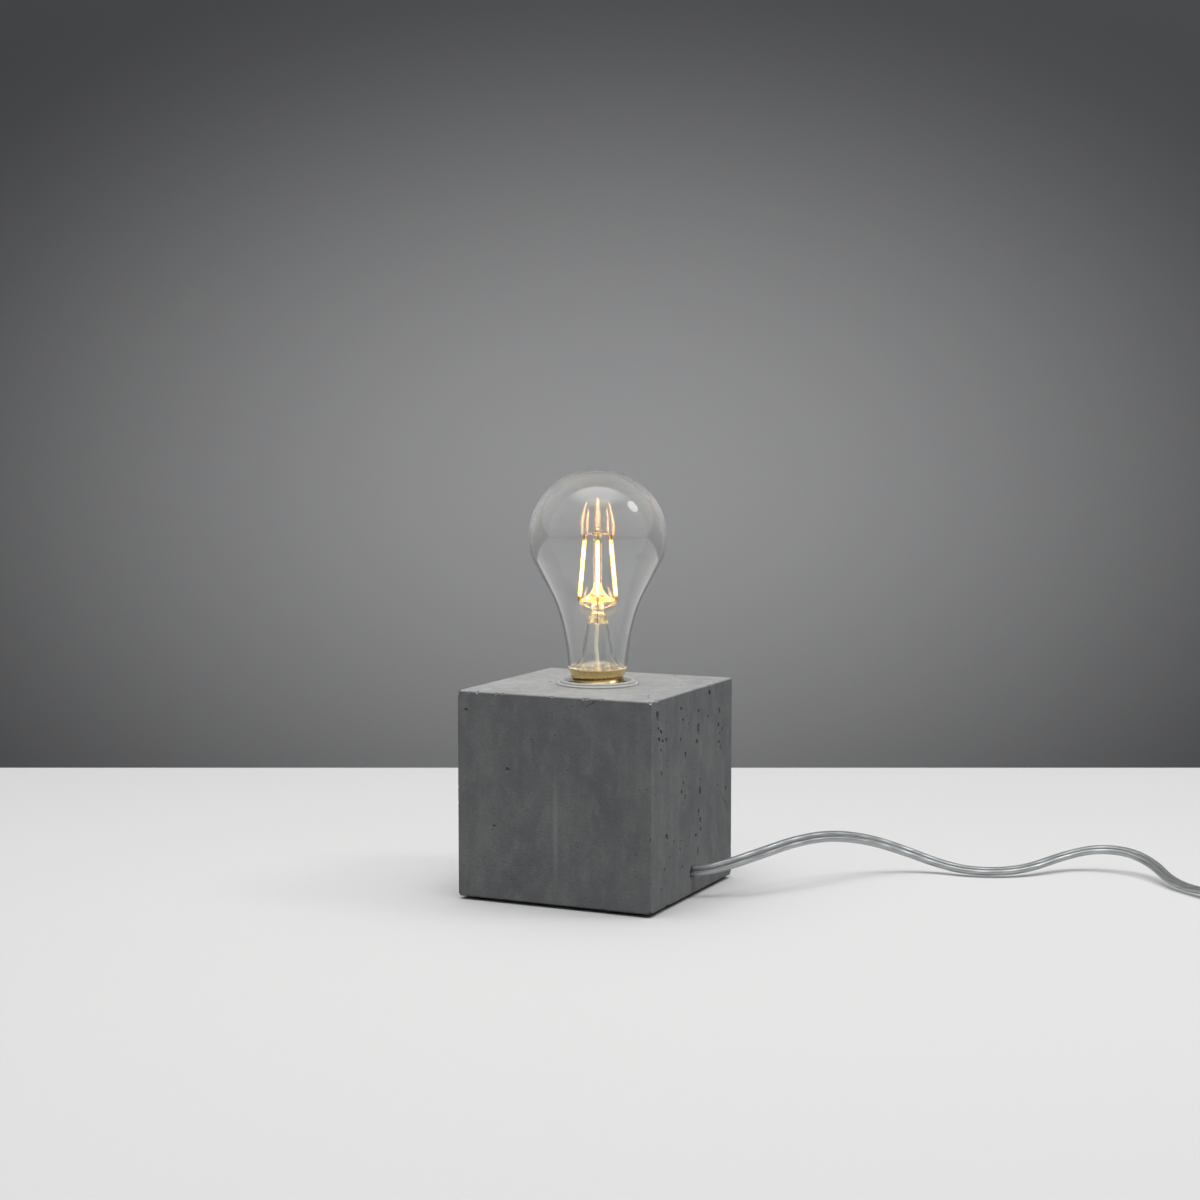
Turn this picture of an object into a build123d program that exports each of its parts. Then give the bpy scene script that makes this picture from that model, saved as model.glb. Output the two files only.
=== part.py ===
"""Concrete cube table lamp: a cast block, a screw lampholder let into its top, a clear filament bulb,
and a flat twin cord with an in-line switch, a tied coil and a two-pin plug.

Millimetres, +Z up. The origin is at the centre of the base, on the surface that the lamp stands on.
The broad front face looks along -Y and the face with the cord hole along +X.
"""
import math
import os

from build123d import *

# Fits shared by many pieces
seat_play = 0.05
cut_over = 1.0

# Block and feet
block_side = 100.0
block_height = 98.5
block_edge_radius = 0.8
foot_diameter = 12.0
foot_thickness = 1.5
foot_inset = 10.0

# Recess under the block, its cover and the cord hole
recess_diameter = 54.0
recess_depth = 24.5
cover_thickness = 1.6
cover_ledge = 12.0
cover_clearance = 0.5
cover_screws_count = 3
cover_screw_angle = 90.0
cover_screw_diameter = 3.5
cover_screw_length = 16.0
cover_screw_head = 6.6
anchor_diameter = 6.0
anchor_length = 18.0
anchor_end_room = 0.5
cord_hole_diameter = 7.0
cord_exit_height = 12.0

# Clamp that holds the cord to the cover
saddle_offset = 17.0
saddle_width = 8.0
saddle_length = 21.0
saddle_thickness = 2.6
saddle_post_diameter = 5.2
saddle_screw_diameter = 2.6
saddle_screw_head = 5.4
saddle_screw_head_height = 2.16
saddle_screw_head_rounding = 0.86
saddle_screw_grip = 7.0

# Lampholder
flange_diameter = 40.0
flange_thickness = 1.1
rim_height = 2.1
rim_wall = 1.7
rim_edge = 0.5
mouth_slope_height = 0.5
shell_diameter = 36.6
shell_wall = 1.8
shell_step = 1.1
shell_depth = 38.0
mouth_depth = 3.5
mouth_gap = 1.1
bore_clearance = 0.7
floor_clearance = 0.5
rear_cap_height = 12.5
rear_cap_wall = 1.5
rear_cone_height = 9.0
rear_boss_diameter = 17.2
thread_play = 0.1
contact_flange_height = 7.5
contact_barrel_height = 5.0
contact_rise = 1.5
contact_gap = 0.3
brass_sheet = 0.4
screw_play = 0.35
leaf_width = 5.0
leaf_thickness = 0.5
leaf_length = 13.0
leaf_droop = 0.2
rivet_diameter = 2.3
rivet_head = 3.6
rivet_head_height = 0.4
rivet_wall_gap = 1.0
rivet_edge = 0.3
post_size = 5.6
post_height = 4.5
terminal_screw_diameter = 2.4
terminal_screw_head = 5.0
terminal_screw_head_height = 2.0
terminal_screw_length = 2.7
terminal_screw_end_room = 0.45

# Nipple that clamps the lampholder to the block
nipple_diameter = 9.9
nipple_wall = 1.0
nipple_grip = 7.5
nipple_spare = 2.4
nipple_hole_clearance = 0.6
washer_diameter = 20.0
washer_thickness = 1.6
nut_across_flats = 14.0
nut_height = 4.0

# Bulb: globe, neck and screw cap
globe_diameter = 66.4
glass_wall = 0.9
globe_under = 13.0
shoulder_radius = 14.0
cone_angle = 28.5
upper_neck_radius = 57.0
upper_neck_angle = 17.0
lower_neck_radius = 105.0
neck_taper = 3.0
neck_diameter = 29.0
neck_straight = 0.7
neck_lip_radius = 2.0
neck_lip_angle = 45.0
neck_lip_length = 1.0
cap_stand = 7.9
cap_length = 27.4
cap_diameter = 25.9
cap_flare = 3.0
cap_rim_gap = 0.2
insulator_height = 4.2
insulator_end_diameter = 12.8
insulator_plug = 1.4
tip_diameter = 11.4
tip_height = 1.9
tip_rounding = 1.14
tip_play = 0.05

# Bulb: glass stem, wires and filaments. A hollow is where a curve's middle lies, as shares of its
# width and its height.
bead_above_centre = 2.0
pillar_diameter = 3.8
bead_diameter = 5.2
flare_diameter = 17.2
flare_edge = 0.7
flare_height = 8.0
flare_hollow = (0.26, 0.4)
flare_below_filament = 2.2
waist_diameter = 6.0
waist_height = 6.0
press_diameter = 10.4
press_height = 5.0
press_hollow = (0.62, 0.62)
press_solid_height = 4.0
stem_wall = 0.9
stem_foot_gap = 0.25
stem_foot_height = 7.0
stem_foot_hollow = (0.3, 0.34)
stem_foot_above_cap = 0.9
stem_tube_diameter = 15.2
filament_count = 6
filament_angle = -65.0
filament_diameter = 1.9
filament_foot_radius = 10.0
filament_head_radius = 7.25
filament_foot_drop = 30.0
filament_length = 27.5
filament_play = 0.05
filament_end_rounding = 0.57
fine_wire = 0.7
upper_wire_lead = 2.2
upper_wire_bend = 1.0
upper_wire_rise = 0.4
lower_wire_lead = 3.4
lower_wire_bend = 1.2
lower_wire_drop = 1.0
lead_diameter = 1.7
lead_spacing = 3.4
lead_bow = 0.9
lead_bend = 12.0
lead_top_gap = 0.2
lead_shape = [(0.25, 0.0), (0.6, 1.0), (1.0, 0.2)]
board_thickness = 1.2
board_width = 15.0
board_height = 15.0
capacitor_diameter = 6.4
capacitor_length = 9.0
capacitor_rounding = 0.6
capacitor_up_board = 3.0
choke_diameter = 5.0
choke_length = 6.0
choke_flange = 1.2
choke_waist_diameter = 3.6
choke_up_board = 4.0

# Cord, its inner leads and the coil of its spare length
cord_diameter = 5.5
cord_thickness = 3.3
sheath_end = 9.0
sheath_joint = 1.1
inner_lead_diameter = 2.2
inner_lead_spacing = 3.0
inner_lead_bend = 4.0
inner_lead_gap = 0.3
inner_lead_turn = 1.0
cord_points = [
    (50, 0, 12), (64, 4, 15.5), (77, 17, 20), (88, 38, 23.5), (98, 62, 23), (110, 84, 18), (124, 98, 11),
    (140, 103, 5), (156, 101, 2.9), (172, 105.5, 2.9), (184, 115.5, 4), (196, 135, 7.5), (210.5, 143, 11),
    (227, 143, 11), (241, 135, 7.5), (254, 114.5, 3.4), (271, 101, 2.8),
]
coil_centre = (401.0, 46.6)
coil_start_angle = -130.0
coil_turns = 6.5
coil_step = 6.1
coil_lift = 1.1
coil_inner_radius = 22.5
coil_reverse = 0.08
coil_lead_in = 10.0
tie_width = 9.0
tie_thickness = 0.8
tie_gap = 0.45
tie_corner = 2.0
tie_angle = -40.0

# In-line switch
switch_place = (296.0, 80.0)
switch_heading = -40.0
switch_length = 62.0
switch_width = 22.0
switch_height = 17.0
switch_wall = 1.8
switch_corner = 9.0
switch_edge = 2.5
switch_cord_height = 6.5
switch_lead_in = 14.0
rocker_radius = 10.2
rocker_width = 10.4
rocker_up_angle = 38.0
rocker_down_angle = 10.0
rocker_dip = 4.6
rocker_tilt = 7.0
rocker_gap = 0.35
rocker_pivot_height = 11.5
pivot_diameter = 2.4
pivot_play = 0.05
lug_thickness = 1.8
lug_length = 6.0
switch_screw_diameter = 2.4
switch_screw_head = 4.6
switch_screw_head_height = 1.6
switch_screw_sink = 0.2
switch_screw_end_room = 1.8
switch_boss_diameter = 5.2
switch_boss_place = (23.0, 6.2)
switch_terminal_size = (6.0, 8.0, 5.0)
switch_terminal_offset = 16.0
spring_width = 4.0

# Plug
plug_length = 36.0
plug_width = 35.3
plug_thickness = 13.7
plug_neck_width = 13.0
plug_neck_thickness = 10.0
plug_shoulder = 14.0
plug_shoulder_width = 31.0
plug_corner = 3.0
boot_length = 22.0
boot_start_diameter = 7.0
boot_end_diameter = 9.4
pin_diameter = 4.0
pin_length = 19.0
pin_spacing = 18.6
pin_root = 8.0
pin_root_diameter = 3.0
pin_end_rounding = 1.4
tail_length = 45.0
tail_lead_in = 14.0

# Levels worked out from the sizes above
block_bottom = foot_thickness
block_top = block_bottom + block_height
recess_top = block_bottom + recess_depth
cover_top = block_bottom + cover_thickness
cap_top = block_top + cap_stand
tip_bottom = cap_top - cap_length
tip_top = tip_bottom + tip_height
insulator_bottom = tip_top + tip_play
cap_bottom = insulator_bottom + insulator_height
contact_top = tip_bottom - contact_rise
contact_seat = contact_top - contact_flange_height
barrel_bottom = contact_seat - contact_barrel_height
post_bottom = barrel_bottom
post_top = post_bottom + post_height
shell_bottom = block_top - shell_depth
rear_bottom = shell_bottom - rear_cap_height
bore_floor = rear_bottom - floor_clearance
nipple_top = rear_bottom + nipple_grip
nut_top = recess_top - washer_thickness
nut_bottom = nut_top - nut_height
nipple_bottom = nut_bottom - nipple_spare

# Radii worked out from the sizes above
recess_radius = recess_diameter / 2
cover_seat_radius = recess_radius + cover_ledge
cover_screw_circle = recess_radius + cover_ledge / 2
shell_radius = shell_diameter / 2
shell_inner = shell_radius - shell_wall
shell_shoulder = shell_inner - shell_step
cap_radius = cap_diameter / 2
screw_inner = cap_radius + screw_play
screw_outer = screw_inner + brass_sheet
mouth_radius = screw_outer + mouth_gap
nipple_radius = nipple_diameter / 2
nipple_bore = nipple_radius - nipple_wall
globe_radius = globe_diameter / 2
neck_radius = neck_diameter / 2
cord_radius = cord_diameter / 2
rear_thread_radius = shell_inner - thread_play
rear_inner = rear_thread_radius - rear_cap_wall
post_inner_x = -leaf_length / 2 + rivet_head / 2
post_outer_x = screw_inner - rivet_wall_gap - rivet_head / 2
post_places = (post_inner_x, post_outer_x)

BOTTOM = (Align.CENTER, Align.CENTER, Align.MIN)
BEND_SHARE = 0.45  # of the shorter run, taken up by each bend of a cord
SAMPLES_PER_ARC = 6  # for measuring the coil's gap to itself
OWN_STRETCH = 0.6  # of a turn, too near along the coil to count as another turn


def cylinder(radius, bottom, top, x=0.0, y=0.0):
    """An upright cylinder between two levels."""
    return Pos(x, y, bottom) * Cylinder(radius, top - bottom, align=BOTTOM)


def block(length, width, bottom, top, x=0.0, y=0.0):
    """An upright box between two levels."""
    return Pos(x, y, bottom) * Box(length, width, top - bottom, align=BOTTOM)


def lathe(outline):
    """Turn a closed outline of radius and height about the Z axis."""
    return revolve(Plane.XZ * make_face(outline), Axis.Z)


def turned(*points):
    """Turn a closed outline with straight sides about the Z axis."""
    return lathe(Polyline(*points, close=True))


def around(count, start=0.0):
    """The angles of a ring of equal places, in degrees."""
    return [start + 360.0 * i / count for i in range(count)]


def at_angle(radius, angle, height=0.0):
    """A point on a circle about the Z axis."""
    return Vector(radius * math.cos(math.radians(angle)), radius * math.sin(math.radians(angle)), height)


def group(solids):
    """Separate solids in one node."""
    return Compound(children=[s.solid() for s in solids])


def sweep_round(path, diameter):
    """A round wire or tube along a path."""
    return sweep(Plane(path @ 0, z_dir=path % 0) * Circle(diameter / 2), path)


def bent_wire(points, diameter, bend):
    """A wire with straight runs and bends of one radius."""
    return sweep_round(FilletPolyline(*points, radius=bend), diameter)


def cord_tube(name, points, diameter):
    """A cord with bends as large as its runs allow. Prints the bends and checks the volume."""
    points = [Vector(p) for p in points]
    runs = [b - a for a, b in zip(points, points[1:])]
    bends = []
    for before, after in zip(runs, runs[1:]):
        half_turn = math.radians(before.get_angle(after) / 2)
        bends.append(BEND_SHARE * min(before.length, after.length) / math.tan(half_turn))
    path = FilletPolyline(*points, radius=bends)
    tube = sweep_round(path, diameter)
    section = math.pi * diameter**2 / 4
    print(name, "length", round(path.length, 1), "tightest bend", round(min(bends), 1))
    print(name, "bends", [round(b) for b in bends])
    print(name, "volume over section times length", round(tube.volume / (section * path.length), 4))
    return tube


# Block and what closes it underneath


def cover_screw_places():
    return [at_angle(cover_screw_circle, a) for a in around(cover_screws_count, cover_screw_angle)]


def make_concrete_block():
    cube = block(block_side, block_side, block_bottom, block_top)
    cube = fillet(cube.edges(), block_edge_radius)
    cube -= cylinder(shell_radius + bore_clearance, bore_floor, block_top + cut_over)
    nipple_hole = nipple_radius + nipple_hole_clearance
    cube -= cylinder(nipple_hole, recess_top - cut_over, bore_floor + cut_over)
    cube -= cylinder(recess_radius, block_bottom - cut_over, recess_top)
    cube -= cylinder(cover_seat_radius, block_bottom - cut_over, cover_top)
    hole = Cylinder(cord_hole_diameter / 2, block_side / 2 + cut_over, align=BOTTOM, rotation=(0, 90, 0))
    cube -= Pos(0, 0, cord_exit_height) * hole
    for place in cover_screw_places():
        anchor_top = cover_top + anchor_length
        cube -= cylinder(anchor_diameter / 2, cover_top - cut_over, anchor_top, place.X, place.Y)
    return cube


def make_feet():
    reach = block_side / 2 - foot_inset
    places = [(x, y) for x in (-reach, reach) for y in (-reach, reach)]
    return group([cylinder(foot_diameter / 2, 0, foot_thickness, x, y) for x, y in places])


def saddle_post_places():
    reach = (saddle_length - saddle_post_diameter) / 2
    return [(saddle_offset, -reach), (saddle_offset, reach)]


def make_base_cover():
    cover = cylinder(cover_seat_radius - cover_clearance, block_bottom, cover_top)
    for place in cover_screw_places():
        cover -= countersunk(place.X, place.Y, seat_play)
    seat_top = cord_exit_height - cord_radius - seat_play
    post_top_level = cord_exit_height + cord_radius + seat_play
    cover += block(saddle_width, saddle_length, cover_top, seat_top, saddle_offset)
    for x, y in saddle_post_places():
        cover += cylinder(saddle_post_diameter / 2, cover_top, post_top_level, x, y)
    for x, y in saddle_post_places():
        hole_bottom = post_top_level - saddle_screw_grip - seat_play
        cover -= cylinder(saddle_screw_diameter / 2 + seat_play, hole_bottom, post_top_level + cut_over, x, y)
    return cover


def countersunk(x, y, play=0.0):
    """A cover screw with its point up, or the hole for one if play is given."""
    radius = cover_screw_diameter / 2 + play
    head = cover_screw_head / 2 + play
    top = block_bottom + cover_screw_length
    cone = Pos(x, y, block_bottom) * Cone(head, radius, cover_thickness, align=BOTTOM)
    return cone + cylinder(radius, block_bottom, top, x, y)


def make_cover_screws():
    return group([countersunk(p.X, p.Y) for p in cover_screw_places()])


def make_cover_anchors():
    top = cover_top + anchor_length - anchor_end_room
    hole_top = block_bottom + cover_screw_length + anchor_end_room
    hole_radius = cover_screw_diameter / 2 + seat_play
    anchors = []
    for place in cover_screw_places():
        anchor = cylinder(anchor_diameter / 2 - seat_play, cover_top, top, place.X, place.Y)
        anchor -= cylinder(hole_radius, cover_top - cut_over, hole_top, place.X, place.Y)
        anchors.append(anchor)
    return group(anchors)


def make_cord_saddle():
    bottom = cord_exit_height + cord_radius + seat_play
    bar = extrude(SlotOverall(saddle_length, saddle_width, rotation=90), saddle_thickness)
    bar = Pos(saddle_offset, 0, bottom) * bar
    hole_radius = saddle_screw_diameter / 2 + seat_play
    for x, y in saddle_post_places():
        bar -= cylinder(hole_radius, bottom - cut_over, bottom + saddle_thickness + cut_over, x, y)
    return bar


def make_saddle_screws():
    seat = cord_exit_height + cord_radius + seat_play + saddle_thickness
    shank_bottom = seat - saddle_thickness - saddle_screw_grip
    screws = []
    for x, y in saddle_post_places():
        head = cylinder(saddle_screw_head / 2, seat, seat + saddle_screw_head_height, x, y)
        head = fillet(head.edges().sort_by(Axis.Z)[-1], saddle_screw_head_rounding)
        screws.append(head + cylinder(saddle_screw_diameter / 2, shank_bottom, seat, x, y))
    return group(screws)


# Lampholder and the nipple that clamps it


def make_lampholder_shell():
    flange_top = block_top + flange_thickness
    rim_top = block_top + rim_height
    outline = Polyline(
        (shell_inner, shell_bottom),
        (shell_radius, shell_bottom),
        (shell_radius, block_top),
        (flange_diameter / 2, block_top),
        (flange_diameter / 2, flange_top - rim_edge),
        (flange_diameter / 2 - rim_edge, flange_top),
        (shell_radius, flange_top),
        (shell_radius, rim_top - rim_edge),
        (shell_radius - rim_edge, rim_top),
        (shell_radius - rim_wall, rim_top),
        (mouth_radius, block_top + mouth_slope_height),
        (mouth_radius, rim_top - mouth_depth),
        (shell_shoulder, rim_top - mouth_depth),
        (shell_shoulder, contact_top + contact_gap),
        (shell_inner, contact_top + contact_gap),
        close=True,
    )
    return lathe(outline)


def make_lampholder_cap():
    thread_top = contact_seat
    boss = rear_boss_diameter / 2
    nipple_seat = nipple_radius + seat_play
    cone_top = rear_bottom + rear_cone_height
    return turned(
        (nipple_seat, rear_bottom),
        (boss + rear_cap_wall, rear_bottom),
        (boss + rear_cap_wall, rear_bottom + rear_cap_wall),
        (shell_radius, cone_top),
        (shell_radius, shell_bottom),
        (rear_thread_radius, shell_bottom),
        (rear_thread_radius, thread_top),
        (rear_inner, thread_top),
        (rear_inner, cone_top),
        (boss, rear_bottom + 2 * rear_cap_wall),
        (boss, nipple_top),
        (nipple_seat, nipple_top),
    )


def make_contact_block():
    barrel = rear_inner - thread_play
    body = turned(
        (0, barrel_bottom),
        (barrel, barrel_bottom),
        (barrel, contact_seat),
        (shell_inner - thread_play, contact_seat),
        (shell_inner - thread_play, contact_top),
        (0, contact_top),
    )
    pocket = post_size + 2 * seat_play
    for x in post_places:
        body -= block(pocket, pocket, barrel_bottom - cut_over, post_top, x)
        body -= cylinder(rivet_diameter / 2 + seat_play, post_top - cut_over, contact_top + cut_over, x)
    return body


def make_screw_shell():
    base_top = contact_top + brass_sheet
    wall_top = block_top + rim_height - mouth_depth - brass_sheet
    base_inner = post_outer_x - rivet_head / 2 - rivet_edge
    lip = screw_outer + brass_sheet
    shell = turned(
        (base_inner, contact_top),
        (screw_outer, contact_top),
        (screw_outer, wall_top - brass_sheet),
        (lip, wall_top - brass_sheet),
        (lip, wall_top),
        (screw_inner, wall_top),
        (screw_inner, base_top),
        (base_inner, base_top),
    )
    rivet_hole = rivet_diameter / 2 + seat_play
    return shell - cylinder(rivet_hole, contact_top - cut_over, base_top + cut_over, post_outer_x)


def make_centre_contact():
    """A leaf that the bulb's contact presses down, riveted at one end."""
    foot_end = post_inner_x + rivet_head / 2
    crown = tip_bottom - contact_gap
    start = post_inner_x - rivet_head / 2
    leaf = make_face(Polyline(
        (start, contact_top),
        (foot_end, contact_top),
        (0, crown - leaf_thickness),
        (start + leaf_length, crown - leaf_thickness - leaf_droop),
        (start + leaf_length, crown - leaf_droop),
        (0, crown),
        (foot_end - leaf_thickness / 2, contact_top + leaf_thickness),
        (start, contact_top + leaf_thickness),
        close=True,
    ))
    strip = extrude(Plane.XZ * leaf, leaf_width / 2, both=True)
    rivet_hole = rivet_diameter / 2 + seat_play
    return strip - cylinder(rivet_hole, contact_top - cut_over, crown + cut_over, post_inner_x)


def make_contact_rivets():
    rivets = []
    for x, sheet in zip(post_places, (leaf_thickness, brass_sheet)):
        seat = contact_top + sheet
        shank = cylinder(rivet_diameter / 2, post_top, seat, x)
        rivets.append(shank + cylinder(rivet_head / 2, seat, seat + rivet_head_height, x))
    return group(rivets)


def make_terminal_posts():
    hole_top = post_bottom + terminal_screw_length + terminal_screw_end_room
    hole_radius = terminal_screw_diameter / 2 + seat_play
    posts = []
    for x in post_places:
        post = block(post_size, post_size, post_bottom, post_top, x)
        posts.append(post - cylinder(hole_radius, post_bottom - cut_over, hole_top, x))
    return group(posts)


def make_terminal_screws():
    screws = []
    for x in post_places:
        head = cylinder(terminal_screw_head / 2, post_bottom - terminal_screw_head_height, post_bottom, x)
        shank = cylinder(terminal_screw_diameter / 2, post_bottom, post_bottom + terminal_screw_length, x)
        screws.append(head + shank)
    return group(screws)


def make_threaded_nipple():
    bore = cylinder(nipple_bore, nipple_bottom - cut_over, nipple_top + cut_over)
    return cylinder(nipple_radius, nipple_bottom, nipple_top) - bore


def make_nipple_washer():
    hole = cylinder(nipple_radius + seat_play, nut_top - cut_over, recess_top + cut_over)
    return cylinder(washer_diameter / 2, nut_top, recess_top) - hole


def make_nipple_nut():
    hexagon = RegularPolygon(nut_across_flats / 2, 6, major_radius=False)
    nut = Pos(0, 0, nut_bottom) * extrude(hexagon, nut_height)
    return nut - cylinder(nipple_radius + seat_play, nut_bottom - cut_over, nut_top + cut_over)


# Bulb


def glass_side(inset):
    """The globe's outline from its top to the end of the neck, moved in by an inset."""
    steps = [
        (globe_radius - inset, -90.0 - globe_under),
        (shoulder_radius - inset, globe_under - cone_angle),
        (None, cone_length()),
        (upper_neck_radius + inset, cone_angle - upper_neck_angle),
        (lower_neck_radius + inset, upper_neck_angle - neck_taper),
        (None, neck_straight),
        (neck_lip_radius - inset, neck_taper - neck_lip_angle),
        (None, neck_lip_length),
    ]
    edges = []
    place = Vector(0, globe_radius - inset)
    heading = 0.0
    for radius, amount in steps:
        direction = Vector(math.cos(math.radians(heading)), math.sin(math.radians(heading)))
        if radius is None:
            edges.append(Line(place, place + direction * amount))
        else:
            edges.append(JernArc(place, direction, radius, amount))
            heading += amount
        place = edges[-1] @ 1
    return edges


def cone_length():
    """How long the straight cone is between the shoulder and the neck."""

    def cosine(angle):
        return math.cos(math.radians(angle))

    cone_start = globe_radius * cosine(globe_under)
    cone_start -= shoulder_radius * (cosine(globe_under) - cosine(cone_angle))
    cone_end = neck_radius + lower_neck_radius * (cosine(neck_taper) - cosine(upper_neck_angle))
    cone_end += upper_neck_radius * (cosine(upper_neck_angle) - cosine(cone_angle))
    return (cone_start - cone_end) / math.sin(math.radians(cone_angle))


def globe_centre():
    """The level of the globe's centre, with the end of the neck seated in the cap."""
    lip_drop = neck_lip_length * math.sin(math.radians(neck_lip_angle))
    return cap_top - lip_drop - (glass_side(0)[-1] @ 1).Y


def make_bulb_glass():
    outer = glass_side(0)
    inner = glass_side(glass_wall)
    foot = Line(outer[-1] @ 1, inner[-1] @ 1)
    top = Line(inner[0] @ 0, outer[0] @ 0)
    outline = Wire([*outer, foot, *inner, top])
    return Pos(0, 0, globe_centre()) * lathe(outline)


def make_bulb_cap():
    rim = (glass_side(0)[-2] @ 1).X + cap_rim_gap
    wall = brass_sheet
    flare_bottom = cap_top - cap_flare
    return turned(
        (cap_radius - wall, cap_bottom),
        (cap_radius, cap_bottom),
        (cap_radius, flare_bottom),
        (rim + wall, cap_top),
        (rim, cap_top),
        (cap_radius - wall, flare_bottom),
    )


def make_cap_insulator():
    plug = cap_radius - brass_sheet - seat_play
    return turned(
        (0, insulator_bottom),
        (insulator_end_diameter / 2, insulator_bottom),
        (plug, cap_bottom),
        (plug, cap_bottom + insulator_plug),
        (0, cap_bottom + insulator_plug),
    )


def make_bulb_contact():
    tip = cylinder(tip_diameter / 2, tip_bottom, tip_top)
    return fillet(tip.edges().sort_by(Axis.Z)[0], tip_rounding)


def stem_levels():
    """Levels of the stem, from its foot in the neck to the bead at its top."""
    bead = globe_centre() + bead_above_centre
    flare_bottom = bead - filament_foot_drop - flare_below_filament
    waist_bottom = flare_bottom - waist_height
    press_bottom = waist_bottom - press_height
    foot = cap_top + stem_foot_above_cap
    return foot, press_bottom, waist_bottom, flare_bottom, bead


def hollow_arc(wide, narrow, hollow):
    """An arc up from a wide place to a narrow one, through a middle given as shares of width and height."""
    across, up = hollow
    middle = (narrow[0] + (wide[0] - narrow[0]) * across, wide[1] + (narrow[1] - wide[1]) * up)
    return ThreePointArc(wide, middle, narrow)


def make_bulb_stem():
    """Foot fused in the neck, hollow tube, press, flare and the pillar with its bead."""
    foot, press_bottom, waist_bottom, flare_bottom, bead = stem_levels()
    foot_radius = neck_radius - glass_wall - stem_foot_gap
    tube = stem_tube_diameter / 2
    press = press_diameter / 2
    waist = waist_diameter / 2
    flare = flare_diameter / 2
    pillar = pillar_diameter / 2
    flare_top = flare_bottom + flare_edge
    bead_radius = bead_diameter / 2
    bead_rise = math.sqrt(bead_radius**2 - pillar**2)
    foot_top = foot + stem_foot_height
    hollow_top = waist_bottom - press_solid_height
    outline = [
        Line((foot_radius - stem_wall, foot), (foot_radius, foot)),
        hollow_arc((foot_radius, foot), (tube, foot_top), stem_foot_hollow),
        Line((tube, foot_top), (press, press_bottom)),
        hollow_arc((press, press_bottom), (waist, waist_bottom), press_hollow),
        Line((waist, waist_bottom), (waist, flare_bottom)),
        Line((waist, flare_bottom), (flare, flare_bottom)),
        Line((flare, flare_bottom), (flare, flare_top)),
        hollow_arc((flare, flare_top), (pillar, flare_top + flare_height), flare_hollow),
        Line((pillar, flare_top + flare_height), (pillar, bead - bead_rise)),
        ThreePointArc((pillar, bead - bead_rise), (bead_radius, bead), (0, bead + bead_radius)),
        Line((0, bead + bead_radius), (0, hollow_top)),
        Line((0, hollow_top), (press - stem_wall, press_bottom)),
        Line((press - stem_wall, press_bottom), (tube - stem_wall, foot_top)),
        hollow_arc((foot_radius - stem_wall, foot), (tube - stem_wall, foot_top), stem_foot_hollow),
    ]
    return lathe(Wire(outline))


def filament_ends(angle):
    """Where a filament's foot and head are."""
    bead = stem_levels()[-1]
    foot_level = bead - filament_foot_drop
    foot = at_angle(filament_foot_radius, angle, foot_level)
    run = filament_head_radius - filament_foot_radius
    rise = math.sqrt(filament_length**2 - run**2)
    return foot, at_angle(filament_head_radius, angle, foot_level + rise)


def make_filament(angle):
    foot, head = filament_ends(angle)
    stick = Plane(foot, z_dir=head - foot) * Cylinder(filament_diameter / 2, filament_length, align=BOTTOM)
    return fillet(stick.edges().filter_by(GeomType.CIRCLE), filament_end_rounding)


def make_upper_wires():
    """From each filament's head to the bead at the top of the pillar."""
    bead = stem_levels()[-1]
    reach = bead_diameter / 2 + fine_wire / 2
    wires = []
    for angle in around(filament_count, filament_angle):
        foot, head = filament_ends(angle)
        along = (head - foot).normalized()
        start = head + along * filament_play
        bend = head + along * upper_wire_lead
        end = at_angle(reach, angle, bead + upper_wire_rise)
        wires.append(bent_wire([start, bend, end], fine_wire, upper_wire_bend))
    return group(wires)


def make_lower_wires():
    """From each filament's foot round the edge of the flare to the waist of the stem."""
    waist_bottom, flare_bottom = stem_levels()[2:4]
    end_level = (waist_bottom + flare_bottom) / 2 - lower_wire_drop
    reach = waist_diameter / 2 + fine_wire / 2
    wires = []
    for angle in around(filament_count, filament_angle):
        foot, head = filament_ends(angle)
        along = (foot - head).normalized()
        start = foot + along * filament_play
        bend = foot + along * lower_wire_lead
        end = at_angle(reach, angle, end_level)
        wires.append(bent_wire([start, bend, end], fine_wire, lower_wire_bend))
    return group(wires)


def lead_places():
    across = lead_spacing / 2
    return [at_angle(across, filament_angle), at_angle(-across, filament_angle)]


def make_bulb_leads():
    """Two sleeved leads from the press down to the driver board, each bowed a little."""
    press_bottom = stem_levels()[1]
    bottom = cap_bottom + insulator_plug + board_height
    height = press_bottom - lead_top_gap - bottom
    side = at_angle(lead_bow, filament_angle - 90)
    leads = []
    for place in lead_places():
        foot = place + Vector(0, 0, bottom)
        points = [foot]
        points += [foot + Vector(0, 0, height * up) + side * bow for up, bow in lead_shape]
        leads.append(bent_wire(points, lead_diameter, lead_bend))
    return group(leads)


def board_frame(height):
    """The driver board's own place: its length lies along the row of leads."""
    return Pos(0, 0, height) * Rot(0, 0, filament_angle)


def make_driver_board():
    bottom = cap_bottom + insulator_plug
    return board_frame(bottom) * Box(board_width, board_thickness, board_height, align=BOTTOM)


def make_driver_capacitor():
    bottom = cap_bottom + insulator_plug + capacitor_up_board
    can = Cylinder(capacitor_diameter / 2, capacitor_length, align=BOTTOM)
    can = fillet(can.edges().filter_by(GeomType.CIRCLE), capacitor_rounding)
    return board_frame(bottom) * Pos(0, board_thickness / 2 + capacitor_diameter / 2, 0) * can


def make_driver_choke():
    bottom = cap_bottom + insulator_plug + choke_up_board
    choke = cylinder(choke_waist_diameter / 2, 0, choke_length)
    choke += cylinder(choke_diameter / 2, 0, choke_flange)
    choke += cylinder(choke_diameter / 2, choke_length - choke_flange, choke_length)
    return board_frame(bottom) * Pos(0, -board_thickness / 2 - choke_diameter / 2, 0) * choke


# Cord


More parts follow.
